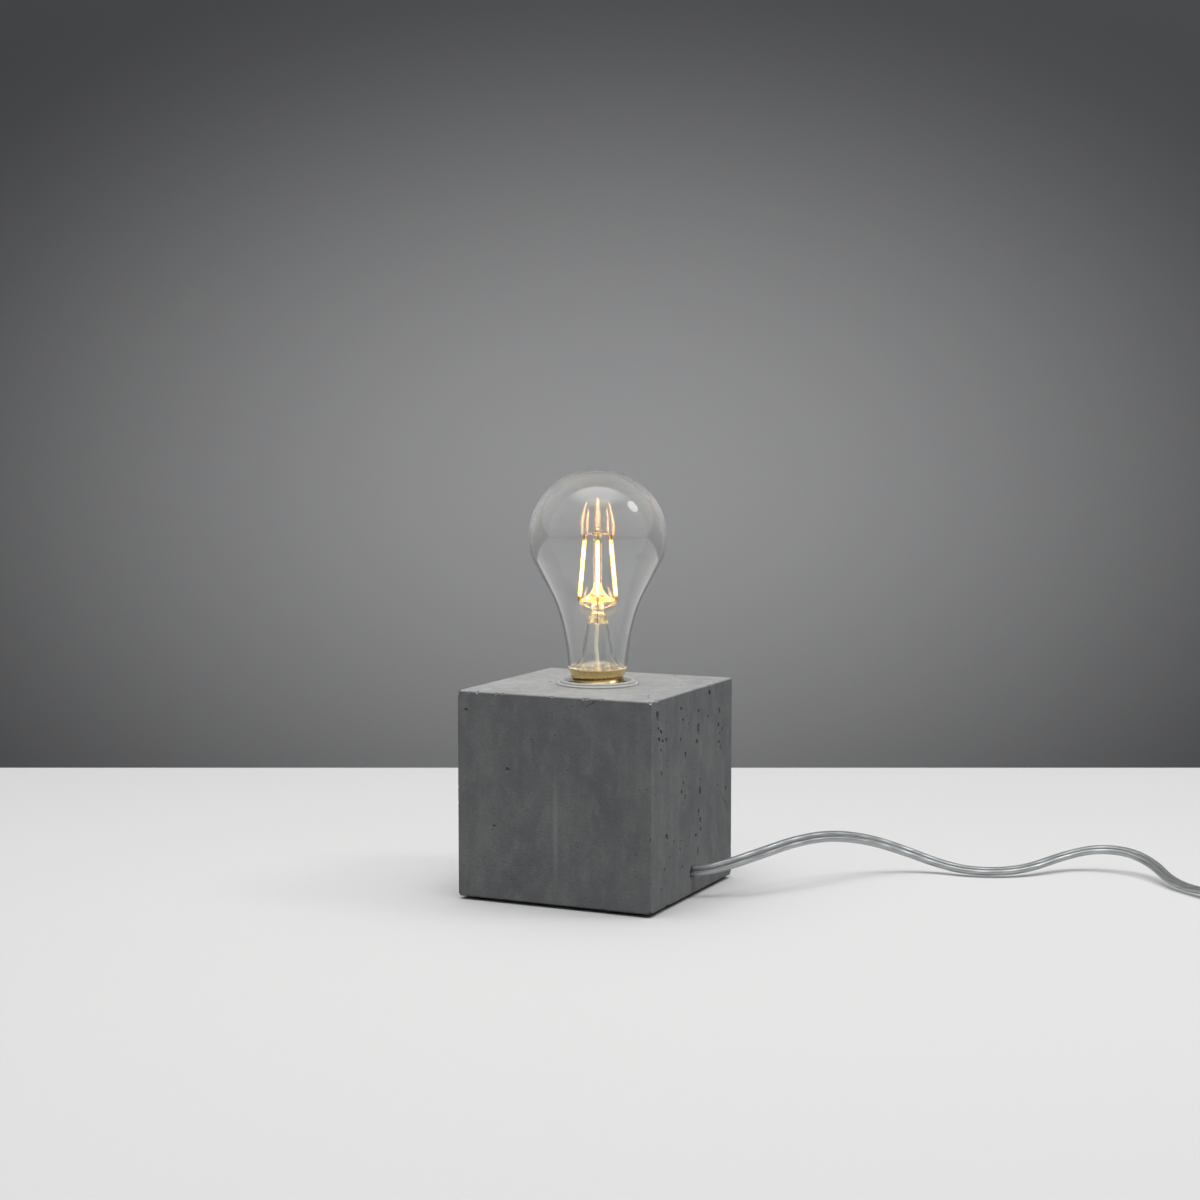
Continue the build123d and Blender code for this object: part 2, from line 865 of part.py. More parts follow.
def heading_vector(angle):
    return at_angle(1.0, angle)


def coil_at(turns):
    """A point of the coil, by turns counted from where its spiral reverses."""
    radius = coil_inner_radius + coil_step * math.hypot(turns, coil_reverse)
    angle = coil_start_angle + 360.0 * (turns + coil_turns / 2)
    climb = min(max(2 * turns + 0.5, 0.0), 1.0)
    height = coil_lift + cord_radius + coil_step * climb**2 * (3 - 2 * climb)
    return at_angle(radius, angle, height) + Vector(coil_centre[0], coil_centre[1], 0)


def coil_direction(turns):
    step = 0.001
    return (coil_at(turns + step) - coil_at(turns - step)).normalized()


def biarc(start, start_direction, end, end_direction):
    """Two tangent arcs between two points with given directions."""
    across = end - start
    total = start_direction + end_direction
    closing = 2 * (1 - start_direction.dot(end_direction))
    along = across.dot(total)
    reach = (-along + math.sqrt(along**2 + closing * across.dot(across))) / closing
    middle = (start + start_direction * reach + end - end_direction * reach) * 0.5
    first = TangentArc(start, middle, tangent=start_direction)
    second = TangentArc(middle, end, tangent=first % 1)
    return first, second


def coil_ends():
    """The coil's first and last points, past a straight stretch of one diameter, and its directions there."""
    half = coil_turns / 2
    first = coil_direction(-half)
    last = coil_direction(half)
    return coil_at(-half) - first * cord_diameter, first, coil_at(half) + last * cord_diameter, last


def make_cord_coil():
    start, first, end, last = coil_ends()
    quarters = round(coil_turns * 4)
    marks = [i / 4 - coil_turns / 2 for i in range(quarters + 1)]
    edges = [Line(start, coil_at(marks[0]))]
    for a, b in zip(marks, marks[1:]):
        edges.extend(biarc(coil_at(a), coil_direction(a), coil_at(b), coil_direction(b)))
    edges.append(Line(coil_at(marks[-1]), end))
    path = Wire(edges)
    coil = sweep_round(path, cord_diameter)
    samples = [edge @ (i / SAMPLES_PER_ARC) for edge in edges for i in range(SAMPLES_PER_ARC)]
    per_turn = len(samples) / coil_turns
    gap = min(
        (a - b).length
        for i, a in enumerate(samples)
        for b in samples[i + round(per_turn * OWN_STRETCH):]
    ) - cord_diameter
    section = math.pi * cord_radius**2
    print("cord_coil length", round(path.length, 1), "least gap to itself", round(gap, 2))
    print("cord_coil volume over section times length", round(coil.volume / (section * path.length), 4))
    return coil


def switch_end(length):
    """A point on the switch's cord line, by length along the switch."""
    place = Vector(switch_place[0], switch_place[1], switch_cord_height)
    return place + heading_vector(switch_heading) * length


def make_cord_free():
    points = [*cord_points, switch_end(-switch_lead_in), switch_end(0)]
    return cord_tube("cord_free", points, cord_diameter)


def make_cord_link():
    start, first = coil_ends()[:2]
    leave = switch_end(switch_length + switch_lead_in)
    points = [switch_end(switch_length), leave, start - first * coil_lead_in, start]
    return cord_tube("cord_link", points, cord_diameter)


def plug_start():
    """Where the cord goes into the plug's boot, and the way the plug points."""
    end, last = coil_ends()[2:]
    way = Vector(last.X, last.Y, 0).normalized()
    place = end + way * tail_length
    return Vector(place.X, place.Y, plug_thickness / 2), way


def make_cord_tail():
    end, last = coil_ends()[2:]
    place, way = plug_start()
    points = [end, end + last * tail_lead_in, place - way * tail_lead_in, place]
    return cord_tube("cord_tail", points, cord_diameter)


def make_coil_tie():
    """A strap closed round the coil's bundle of turns."""
    inner_edge = coil_inner_radius - cord_radius - tie_gap
    outer_edge = coil_inner_radius + coil_step * coil_turns / 2 + cord_radius + tie_gap
    bottom = coil_lift - tie_gap / 2
    top = coil_lift + coil_step + cord_diameter + tie_gap
    width = outer_edge - inner_edge
    height = top - bottom
    around_it = 2 * tie_thickness
    outer = RectangleRounded(width + around_it, height + around_it, tie_corner + tie_thickness)
    band = extrude(outer - RectangleRounded(width, height, tie_corner), tie_width / 2, both=True)
    out = at_angle((inner_edge + outer_edge) / 2, tie_angle, (bottom + top) / 2)
    middle = Vector(coil_centre[0], coil_centre[1], 0) + out
    return Plane(middle, x_dir=heading_vector(tie_angle), z_dir=heading_vector(tie_angle + 90)) * band


def make_cord_inner():
    """The end of the cord, from the clamp to the hole."""
    length = block_side / 2 - sheath_joint - sheath_end
    end = Cylinder(cord_radius, length, align=BOTTOM, rotation=(0, 90, 0))
    return Pos(sheath_end, 0, cord_exit_height) * end


def make_inner_lead(side):
    """A lead from the cord's end up the nipple to its terminal screw."""
    offset = side * inner_lead_spacing / 2
    terminal_x = post_places[0] if side < 0 else post_places[1]
    beside = side * (terminal_screw_head / 2 + inner_lead_diameter / 2 + inner_lead_gap)
    screw_level = post_bottom - terminal_screw_head_height / 2
    points = [
        (sheath_end, offset, cord_exit_height),
        (0, offset, cord_exit_height),
        (0, offset, nipple_top - inner_lead_turn),
        (terminal_x, beside, screw_level),
    ]
    return bent_wire(points, inner_lead_diameter, inner_lead_bend)


# In-line switch


def switch_frame():
    """The switch's own frame: X along the cord, origin under its middle."""
    middle = switch_end(switch_length / 2)
    return Plane((middle.X, middle.Y, 0), x_dir=heading_vector(switch_heading), z_dir=(0, 0, 1))


def switch_cord_slots():
    """Openings at both ends for the flat cord, which lies on its broad side there."""
    outline = SlotOverall(cord_diameter + 2 * seat_play, cord_thickness + 2 * seat_play)
    slot = extrude(across(0) * outline, 2 * switch_wall, both=True)
    reach = switch_length / 2
    return Pos(-reach, 0, switch_cord_height) * slot + Pos(reach, 0, switch_cord_height) * slot


def switch_shell(bottom, top, rounded_end):
    """One half of the switch's case, hollow, with an edge rounded at one end."""
    outer = extrude(RectangleRounded(switch_length, switch_width, switch_corner), top - bottom)
    edges = outer.edges().group_by(Axis.Z)[rounded_end]
    outer = Pos(0, 0, bottom) * fillet(edges, switch_edge)
    wall = 2 * switch_wall
    hollow = RectangleRounded(switch_length - wall, switch_width - wall, switch_corner - switch_wall)
    hollow_bottom = bottom + (switch_wall if rounded_end == 0 else -cut_over)
    hollow_top = top + (cut_over if rounded_end == 0 else -switch_wall)
    return outer - Pos(0, 0, hollow_bottom) * extrude(hollow, hollow_top - hollow_bottom)


def switch_boss_places():
    x, y = switch_boss_place
    return [(-x, y), (x, -y)]


def make_switch_lower():
    shell = switch_shell(0, switch_cord_height, 0) - switch_cord_slots()
    for x, y in switch_boss_places():
        shell += cylinder(switch_boss_diameter / 2, switch_wall / 2, switch_cord_height, x, y)
        hole_top = switch_cord_height + cut_over
        shell -= cylinder(switch_screw_diameter / 2 + seat_play, -cut_over, hole_top, x, y)
        shell -= cylinder(switch_screw_head / 2 + seat_play, -cut_over, switch_screw_head_height, x, y)
    return switch_frame() * shell


def make_switch_upper():
    shell = switch_shell(switch_cord_height, switch_height, -1) - switch_cord_slots()
    window = 2 * (rocker_radius + rocker_gap), rocker_width + 2 * rocker_gap
    shell -= block(*window, switch_cord_height, switch_height + cut_over)
    roof = switch_height - switch_wall / 2
    for y in (-1, 1):
        lug_y = y * (rocker_width / 2 + rocker_gap + lug_thickness / 2)
        shell += block(lug_length, lug_thickness, rocker_pivot_height - pivot_diameter, roof, 0, lug_y)
    bearing = Cylinder(pivot_diameter / 2 + pivot_play, switch_width - 4 * switch_wall, rotation=(90, 0, 0))
    shell -= Pos(0, 0, rocker_pivot_height) * bearing
    for x, y in switch_boss_places():
        shell += cylinder(switch_boss_diameter / 2, switch_cord_height, roof, x, y)
        hole_bottom = switch_cord_height - cut_over
        shell -= cylinder(switch_screw_diameter / 2 + seat_play, hole_bottom, roof - switch_wall, x, y)
    return switch_frame() * shell


def make_switch_rocker():
    def on_rim(angle):
        return (rocker_radius * math.cos(math.radians(angle)), rocker_radius * math.sin(math.radians(angle)))

    up = rocker_up_angle
    down = -rocker_down_angle
    side = Wire([
        ThreePointArc(on_rim(down), on_rim((up + down) / 2), on_rim(up)),
        Line(on_rim(up), (0, rocker_dip)),
        Line((0, rocker_dip), on_rim(180 - up)),
        ThreePointArc(on_rim(180 - up), on_rim(180 - (up + down) / 2), on_rim(180 - down)),
        Line(on_rim(180 - down), on_rim(down)),
    ])
    body = extrude(Plane.XZ * make_face(side), rocker_width / 2, both=True)
    pin_length = rocker_width + 2 * (rocker_gap + lug_thickness)
    body += Cylinder(pivot_diameter / 2, pin_length, rotation=(90, 0, 0))
    return switch_frame() * Pos(0, 0, rocker_pivot_height) * Rot(0, rocker_tilt, 0) * body


def make_switch_screws():
    top = switch_height - 1.5 * switch_wall - switch_screw_end_room
    screws = []
    for x, y in switch_boss_places():
        head = cylinder(switch_screw_head / 2, switch_screw_sink, switch_screw_head_height, x, y)
        shank = cylinder(switch_screw_diameter / 2, switch_screw_head_height, top, x, y)
        screws.append(switch_frame() * (head + shank))
    return group(screws)


def make_switch_terminals():
    length, width, height = switch_terminal_size
    top = switch_wall + height
    places = (-switch_terminal_offset, switch_terminal_offset)
    return group([switch_frame() * block(length, width, switch_wall, top, x) for x in places])


def make_switch_spring():
    bottom = switch_wall + switch_terminal_size[2]
    length = 2 * switch_terminal_offset
    return switch_frame() * block(length, spring_width, bottom, bottom + brass_sheet)


# Plug


def plug_frame():
    """The plug's own frame: X from the cord towards the pins, origin where the cord goes in."""
    place, way = plug_start()
    return Plane(place, x_dir=way, z_dir=(0, 0, 1))


def across(x):
    """A plane across a piece at a length along it, with its X across and its Y up."""
    return Plane((x, 0, 0), x_dir=(0, 1, 0), z_dir=(1, 0, 0))


def make_plug_boot():
    """Tapered sleeve, moulded on the cord, that spares it where it goes into the plug."""
    boot = loft([
        across(0) * Circle(boot_start_diameter / 2),
        across(boot_length) * Circle(boot_end_diameter / 2),
    ])
    return plug_frame() * boot


def make_plug_body():
    sections = [
        (0, plug_neck_width, plug_neck_thickness),
        (plug_shoulder, plug_shoulder_width, plug_thickness),
        (plug_length, plug_width, plug_thickness),
    ]
    outlines = [across(boot_length + x) * RectangleRounded(w, t, plug_corner) for x, w, t in sections]
    body = loft(outlines, ruled=True)
    for y in (-pin_spacing / 2, pin_spacing / 2):
        root = Cylinder(pin_root_diameter / 2 + seat_play, pin_root + cut_over, align=BOTTOM)
        body -= across(boot_length + plug_length - pin_root) * Pos(y, 0, 0) * root
    return plug_frame() * body


def make_plug_pins():
    pins = []
    for y in (-pin_spacing / 2, pin_spacing / 2):
        pin = cylinder(pin_diameter / 2, 0, pin_length)
        pin = fillet(pin.edges().sort_by(Axis.Z)[-1], pin_end_rounding)
        pin += cylinder(pin_root_diameter / 2, -pin_root, 0)
        pins.append(plug_frame() * across(boot_length + plug_length) * Pos(y, 0, 0) * pin)
    return group(pins)


def all_parts():
    parts = {
        "concrete_block": make_concrete_block(),
        "feet": make_feet(),
        "base_cover": make_base_cover(),
        "cover_screws": make_cover_screws(),
        "cover_anchors": make_cover_anchors(),
        "cord_saddle": make_cord_saddle(),
        "saddle_screws": make_saddle_screws(),
        "lampholder_shell": make_lampholder_shell(),
        "lampholder_cap": make_lampholder_cap(),
        "contact_block": make_contact_block(),
        "screw_shell": make_screw_shell(),
        "centre_contact": make_centre_contact(),
        "contact_rivets": make_contact_rivets(),
        "terminal_posts": make_terminal_posts(),
        "terminal_screws": make_terminal_screws(),
        "threaded_nipple": make_threaded_nipple(),
        "nipple_washer": make_nipple_washer(),
        "nipple_nut": make_nipple_nut(),
        "bulb_glass": make_bulb_glass(),
        "bulb_cap": make_bulb_cap(),
        "cap_insulator": make_cap_insulator(),
        "bulb_contact": make_bulb_contact(),
        "bulb_stem": make_bulb_stem(),
        "upper_wires": make_upper_wires(),
        "lower_wires": make_lower_wires(),
        "bulb_leads": make_bulb_leads(),
        "driver_board": make_driver_board(),
        "driver_capacitor": make_driver_capacitor(),
        "driver_choke": make_driver_choke(),
        "cord_inner": make_cord_inner(),
        "live_lead": make_inner_lead(-1),
        "neutral_lead": make_inner_lead(1),
        "cord_free": make_cord_free(),
        "cord_link": make_cord_link(),
        "cord_coil": make_cord_coil(),
        "cord_tail": make_cord_tail(),
        "coil_tie": make_coil_tie(),
        "switch_lower": make_switch_lower(),
        "switch_upper": make_switch_upper(),
        "switch_rocker": make_switch_rocker(),
        "switch_screws": make_switch_screws(),
        "switch_terminals": make_switch_terminals(),
        "switch_spring": make_switch_spring(),
        "plug_boot": make_plug_boot(),
        "plug_body": make_plug_body(),
        "plug_pins": make_plug_pins(),
    }
    for number, angle in enumerate(around(filament_count, filament_angle), start=1):
        parts[f"filament_{number}"] = make_filament(angle)
    return parts


os.makedirs("parts", exist_ok=True)
for node, shape in all_parts().items():
    export_step(shape, f"parts/{node}.step")
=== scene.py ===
"""Concrete cube table lamp, dressed for rendering.

The lamp keeps its own frame: +Z up, the origin under the middle of the cube, +X out of the face with
the cord hole. Sizes are written in millimetres and become metres where a mesh is made.
"""
import math
import random
from functools import partial
from itertools import product

import bmesh
import bpy
from mathutils import Matrix, Vector, noise


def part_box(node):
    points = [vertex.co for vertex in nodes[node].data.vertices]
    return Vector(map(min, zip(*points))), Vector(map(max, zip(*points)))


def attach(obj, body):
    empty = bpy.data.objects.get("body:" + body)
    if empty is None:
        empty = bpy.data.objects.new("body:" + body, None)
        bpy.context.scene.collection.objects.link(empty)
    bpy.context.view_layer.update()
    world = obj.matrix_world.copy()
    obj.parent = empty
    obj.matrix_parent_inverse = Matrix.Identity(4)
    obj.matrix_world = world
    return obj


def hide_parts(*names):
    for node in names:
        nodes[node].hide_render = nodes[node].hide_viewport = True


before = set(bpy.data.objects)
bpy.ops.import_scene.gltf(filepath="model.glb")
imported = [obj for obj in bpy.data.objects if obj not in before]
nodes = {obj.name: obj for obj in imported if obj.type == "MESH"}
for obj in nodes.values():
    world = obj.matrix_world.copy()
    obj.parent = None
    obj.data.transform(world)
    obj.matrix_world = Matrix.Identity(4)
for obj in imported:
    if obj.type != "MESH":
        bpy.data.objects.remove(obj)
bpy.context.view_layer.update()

MM = 0.001
scene = bpy.context.scene


def span(node):
    """A node's lowest and highest corners, in millimetres."""
    low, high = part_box(node)
    return low / MM, high / MM


# Camera, at the photograph's viewing angle
camera_azimuth = 24.912
camera_elevation = 5.147
camera_distance = 1096.7
camera_target = (1.0, 0.46, 140.64)
camera_lens = 68.33
camera_sensor = 36.0
camera_near = 20.0

# Concrete cube
block_low, block_high = span("concrete_block")
cord_hole_level = 12.0
lime_streak_place = (1.5, -50.0, 37.0)
lime_streak_size = (2.2, 6.0, 34.0)

# Bulb
globe_radius = 33.2
glass_wall = 0.9
globe_under = 13.0
shoulder_radius = 14.0
cone_angle = 28.5
upper_neck_radius = 57.0
upper_neck_angle = 17.0
lower_neck_radius = 105.0
neck_taper = 3.0
neck_radius = 14.5
neck_straight = 0.7
neck_lip_radius = 2.0
neck_lip_angle = 45.0
neck_lip_length = 1.0
weld_height = 1.3
globe_centre = span("bulb_glass")[1].z - globe_radius
# Painted sheen on the dome: the levels where it starts and where it is full
painted_sheen_low = globe_centre - 10.0
painted_sheen_high = globe_centre + 24.0
bead_level = globe_centre + 2.0
filament_angles = [-65.0 + 60.0 * i for i in range(6)]
filament_length = 27.5
filament_radius = 0.95
filament_foot_radius = 10.0
filament_head_radius = 7.25
filament_foot_level = bead_level - 30.0

# Cap, its cement and the lampholder's screw shell
cap_low, cap_high = span("bulb_cap")
cap_bottom = cap_low.z
cap_top = cap_high.z
cap_radius = 12.95
cap_flare = 3.0
cap_flare_bulge = (0.85, 1.9)                   # out from the thread, up from the flare's foot
cap_foot_round = [(0.5, 0.0), (0.15, 0.12)]     # in from the thread, up from the cap's foot
cap_foot_inner_inset = 0.9
cap_lip_drop = 0.15
cap_lip_round = 0.1
cap_thread_start = 0.6
brass_sheet = 0.4
thread_pitch = 3.629
thread_depth = 0.95
thread_ease = 1.5
thread_segments = 128
cement_wall = 1.4
cement_gap = 0.1
cement_rim_gap = 0.08
cement_depth = 1.6
cement_foot_inset = 0.5
cement_shoulder_outset = 0.35
cement_lip = 0.3
cement_hollow = [(1.05, 0.82), (1.9, 1.15)]     # in from the rim, down from the cap's top
shell_low, shell_high = span("screw_shell")
shell_play = 0.35
shell_hole_radius = 8.4
shell_thread_start = 0.8
shell_thread_end = 0.6

# Cord: flat twin flex
cord_width = 5.5
lobe_radius = 1.6
lobe_offset = cord_width / 2 - lobe_radius
core_radius = 0.95
strand_count = 7
strand_relief = 0.07
strand_lay = 18.0
cord_exit = (50.0, 0.0, cord_hole_level)
cord_sheath_end = 9
cord_inner_joint = 30
cord_inner_spacing = 3
free_fineness = 9
switch_place = (296.0, 80.0, 6.5)
switch_heading = -40.0
switch_length = 62.0
switch_lead_in = 14.0
coil_centre = (401.0, 46.6)
coil_start_angle = -130.0
coil_turns = 6.5
coil_step = 6.1
coil_lift = 1.1
coil_inner_radius = 22.5
coil_reverse = 0.08
coil_lead_in = 10.0
coil_points_per_turn = 24
coil_fineness = 3
plug_lead = 14.0
plug_run = 45.0
plug_level = 6.85

# Strap round the coil
tie_angle = -40.0
tie_width = 9.0
tie_thickness = 0.8
tie_edge = 0.25
tie_gap = 0.45
tie_corner = 2.4
tie_overlap = 8.0
tie_ramp = 3.0
tie_ramp_rise = 0.6
tie_lap_gap = 0.05
tie_tail_lift = 0.5


# Mesh helpers


def link_object(name, data):
    """Puts an object in the scene."""
    made = bpy.data.objects.new(name, data)
    scene.collection.objects.link(made)
    return made


def rework(mesh, change):
    """Changes a mesh by a function that edits it."""
    work = bmesh.new()
    work.from_mesh(mesh)
    change(work)
    work.to_mesh(mesh)
    work.free()


def face_outward(work):
    bmesh.ops.recalc_face_normals(work, faces=work.faces)


def add_piece(name, shape, material, body, slot, *replaced, smooth=True):
    """Makes a piece from points in millimetres and faces. It rides on a body and may replace nodes."""
    points, faces = shape
    mesh = bpy.data.meshes.new(name)
    mesh.from_pydata([Vector(p) * MM for p in points], [], faces)
    rework(mesh, face_outward)
    mesh.polygons.foreach_set("use_smooth", [smooth] * len(mesh.polygons))
    mesh.materials.append(material)
    piece = link_object(name, mesh)
    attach(piece, body)
    if replaced:
        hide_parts(*replaced)
    return piece


def join_shapes(shapes):
    """Several shapes of points and faces as one."""
    points, faces = [], []
    for more_points, more_faces in shapes:
        first = len(points)
        points.extend(more_points)
        faces.extend([tuple(first + i for i in face) for face in more_faces])
    return points, faces


def turned(outline, segments=160, dent=None):
    """A closed outline of (radius, level) turned about Z. dent(angle, level) takes some radius off."""
    points, faces, rings = [], [], []
    for radius, level in outline:
        if radius < 1e-6:
            rings.append([len(points)] * segments)
            points.append((0, 0, level))
            continue
        rings.append(list(range(len(points), len(points) + segments)))
        for i in range(segments):
            angle = math.tau * i / segments
            r = radius - (dent(angle, level) if dent else 0)
            points.append((r * math.cos(angle), r * math.sin(angle), level))
    for lower, upper in zip(rings, rings[1:] + rings[:1]):
        for i in range(segments):
            j = (i + 1) % segments
            face = tuple(dict.fromkeys((lower[i], lower[j], upper[j], upper[i])))
            if len(face) > 2:
                faces.append(face)
    return points, faces


def direction(path, i):
    """The way that a path goes at one of its points."""
    return (path[min(i + 1, len(path) - 1)] - path[max(i - 1, 0)]).normalized()


def level_sides(path, rolls):
    """A side direction at each point of a path: level, then turned about the path by a roll in degrees."""
    sides = []
    for i, roll in enumerate(rolls):
        along = direction(path, i)
        side = along.cross(Vector((0, 0, 1))).normalized()
        sides.append(Matrix.Rotation(math.radians(roll), 3, along) @ side)
    return sides


def swept(path, sides, sections):
    """A solid drawn along a path: each point has a section of (side, up) offsets."""
    points, faces = [], []
    count = len(sections[0])
    for i, (place, side, section) in enumerate(zip(path, sides, sections)):
        up = side.cross(direction(path, i))
        points.extend(place + side * a + up * b for a, b in section)
    for i in range(len(path) - 1):
        for j in range(count):
            k = (j + 1) % count
            faces.append((i * count + j, i * count + k, (i + 1) * count + k, (i + 1) * count + j))
    faces.append(tuple(range(count)))
    faces.append(tuple(range((len(path) - 1) * count, len(path) * count)))
    return points, faces


def ring(radius, count=16):
    """A round section."""
    turns = [math.tau * i / count for i in range(count)]
    return [(radius * math.cos(turn), radius * math.sin(turn)) for turn in turns]


def rod(path, sections):
    """A rod along a path, whose sections don't turn about it."""
    side = direction(path, 0).orthogonal().normalized()
    sides = []
    for i in range(len(path)):
        along = direction(path, i)
        side = (side - along * side.dot(along)).normalized()
        sides.append(side)
    return swept(path, sides, sections)


def thin_wire(path, radius, sides=10):
    """A round wire along a path."""
    return rod(path, [ring(radius, sides)] * len(path))


def along_arcs(steps, place, heading):
    """Points along a chain of arcs (radius, turn in degrees) and straight lines (None, length)."""
    points = [place]
    finest_turn = 2.5
    for radius, amount in steps:
        way = math.radians(heading)
        if radius is None:
            place = place + Vector((math.cos(way), math.sin(way))) * amount
            points.append(place)
            continue
        side = math.copysign(radius, amount)
        centre = place + Vector((-math.sin(way), math.cos(way))) * side
        count = max(3, math.ceil(abs(amount) / finest_turn))
        for i in range(1, count + 1):
            way = math.radians(heading + amount * i / count)
            points.append(centre + Vector((math.sin(way), -math.cos(way))) * side)
        place = points[-1]
        heading += amount
    return points


def arc_through(start, middle, end, count=14):
    """Points of the arc from start to end through middle, without its first point."""
    a, b, c = Vector(start), Vector(middle), Vector(end)
    twice = 2 * (a.x * (b.y - c.y) + b.x * (c.y - a.y) + c.x * (a.y - b.y))
    x = (a.dot(a) * (b.y - c.y) + b.dot(b) * (c.y - a.y) + c.dot(c) * (a.y - b.y)) / twice
    y = (a.dot(a) * (c.x - b.x) + b.dot(b) * (a.x - c.x) + c.dot(c) * (b.x - a.x)) / twice
    centre = Vector((x, y))
    turn = -((a - centre).angle_signed(b - centre) + (b - centre).angle_signed(c - centre))
    return [centre + Matrix.Rotation(turn * i / count, 2) @ (a - centre) for i in range(1, count + 1)]


def hollow_arc(wide, narrow, hollow):
    """An arc from a wide place to a narrow one, through a middle given as shares of width and height."""
    across, up = hollow
    middle = (narrow[0] + (wide[0] - narrow[0]) * across, wide[1] + (narrow[1] - wide[1]) * up)
    return arc_through(wide, middle, narrow)


def at_angle(radius, degrees, level):
    """A point at a radius and an angle about the Z axis."""
    turn = math.radians(degrees)
    return Vector((radius * math.cos(turn), radius * math.sin(turn), level))


def smooth_step(share):
    share = min(max(share, 0.0), 1.0)
    return share * share * (3 - 2 * share)


# Material helpers


def colour(code):
    """Linear colour of an sRGB hex value."""
    channels = [int(code[i:i + 2], 16) / 255 for i in (1, 3, 5)]
    return (*[c / 12.92 if c <= 0.04045 else ((c + 0.055) / 1.055) ** 2.4 for c in channels], 1.0)


def per_mm(size):
    """Scale of a pattern whose features are that many millimetres across."""
    return 1 / (size * MM)


def add_node(tree, kind, inputs=None, **settings):
    """Adds a node with its settings. An input that is a socket, or a node for its main output, gets linked.
    A hex colour or a number gets set."""
    node = tree.nodes.new("ShaderNode" + kind)
    for name, value in settings.items():
        setattr(node, name, value)
    for name, value in (inputs or {}).items():
        if isinstance(value, bpy.types.Node):
            value = next(socket for socket in value.outputs if socket.enabled)
        if isinstance(value, bpy.types.NodeSocket):
            tree.links.new(value, node.inputs[name])
        else:
            node.inputs[name].default_value = colour(value) if isinstance(value, str) else value
    return node


def start_nodes(owner):
    """Clears the nodes of a material or a world, and gives the function that adds new ones."""
    owner.use_nodes = True
    owner.node_tree.nodes.clear()
    return partial(add_node, owner.node_tree)


def finish(name, surface, *details):
    """A material with the surface that a function below makes, in the object's own coordinates."""
    material = bpy.data.materials.new(name)
    add = start_nodes(material)
    place = add("TexCoord").outputs["Object"]
    add("OutputMaterial", {"Surface": surface(add, place, *details)})
    return material


def dress(material, *names):
    """Gives CAD nodes a finish."""
    for name in names:
        nodes[name].data.materials.clear()
        nodes[name].data.materials.append(material)


def clear_to_light(add, surface):
    """A clear surface that throws no hard shadow: light goes straight through it to what is behind."""
    ray = add("LightPath").outputs["Is Shadow Ray"]
    return add("MixShader", {0: ray, 1: surface, 2: add("BsdfTransparent")})


# Materials


def cast_concrete(add, place):
    """Grey concrete struck from a smooth mould: an even cement skin, faintly cloudy, streaked upright where
    it ran down, with a pale bloom in patches, one lime streak, sand and pinholes with painted shade in them.
    Quite matt. The sand is drawn coarser than it is, so that it shows."""
    drawn = add("Mapping", {"Vector": place, "Scale": (1.0, 1.0, 0.07)})
    patched = add("Mapping", {"Vector": place, "Scale": (1.0, 1.0, 0.5)})
    run_down = add("Mapping", {
        "Vector": place, "Location": Vector(lime_streak_place) * MM,
        "Scale": Vector(lime_streak_size) * MM}, vector_type="TEXTURE")
    clouds = add("TexNoise", {"Vector": place, "Scale": per_mm(30), "Detail": 6.0, "Roughness": 0.65})
    streaks = add("TexNoise", {"Vector": drawn, "Scale": per_mm(6), "Detail": 5.0, "Roughness": 0.65})
    bloom = add("TexNoise", {"Vector": patched, "Scale": per_mm(7), "Detail": 5.0, "Roughness": 0.65})
    lime = add("TexGradient", {"Vector": run_down}, gradient_type="SPHERICAL").outputs["Fac"]
    sand = add("TexNoise", {"Vector": place, "Scale": per_mm(0.9), "Detail": 2.0, "Roughness": 0.7})
    pinholes = add("TexVoronoi", {"Vector": place, "Scale": per_mm(4.6), "Randomness": 1.0})
    # Each layer: its pattern, where that starts and is full, the most it covers, its colour and its fade
    layers = [
        (clouds, 0.34, 0.68, 1.0, "#a8a9aa", "LINEAR"),
        (streaks, 0.42, 0.75, 0.28, "#797a7c", "LINEAR"),
        (bloom, 0.48, 0.7, 0.45, "#bdbebf", "LINEAR"),
        (lime, 0.0, 0.9, 0.65, "#c6c7c8", "SMOOTHSTEP"),
        (sand, 0.35, 0.7, 0.3, "#838485", "LINEAR"),
    ]
    skin = "#909294"
    for pattern, start, full, most, tint, fade in layers:
        share = add("MapRange", {
            "Value": pattern, "From Min": start, "From Max": full, "To Max": most}, interpolation_type=fade)
        skin = add("Mix", {0: share, 6: skin, 7: tint}, data_type="RGBA")
    # Painted shade: the pinholes are coloured dark, as shade would fall in them, and they also dip in the
    # bump.
    holes = add("MapRange", {
        "Value": pinholes, "From Min": 0.04, "From Max": 0.085, "To Min": 0.8, "To Max": 0.0})
    painted_pinhole_shade = add("Mix", {0: holes, 6: skin, 7: "#3c3d3e"}, data_type="RGBA")
    height = add("Math", {0: sand, 1: holes}, operation="SUBTRACT")
    bump = add("Bump", {"Height": height, "Strength": 0.6, "Distance": 0.25 * MM})
    return add("BsdfPrincipled", {"Base Color": painted_pinhole_shade, "Roughness": 0.86, "Normal": bump})


def moulded(add, place, main, shade, roughness, grain_mm, depth_mm=0.03):
    """Moulded plastic, rubber or ceramic: an even colour with a faint cloud, and highlights softened by the
    mould's grain, which is drawn coarser than it is."""
    cloud = add("TexNoise", {"Vector": place, "Scale": per_mm(14), "Detail": 3.0})
    grain = add("TexNoise", {"Vector": place, "Scale": per_mm(grain_mm), "Detail": 2.0})
    tint = add("Mix", {0: cloud, 6: main, 7: shade}, data_type="RGBA")
    gloss = add("MapRange", {"Value": cloud, "To Min": roughness - 0.05, "To Max": roughness + 0.07})
    bump = add("Bump", {"Height": grain, "Strength": 0.5, "Distance": depth_mm * MM})
    return add("BsdfPrincipled", {"Base Color": tint, "Roughness": gloss, "Normal": bump})


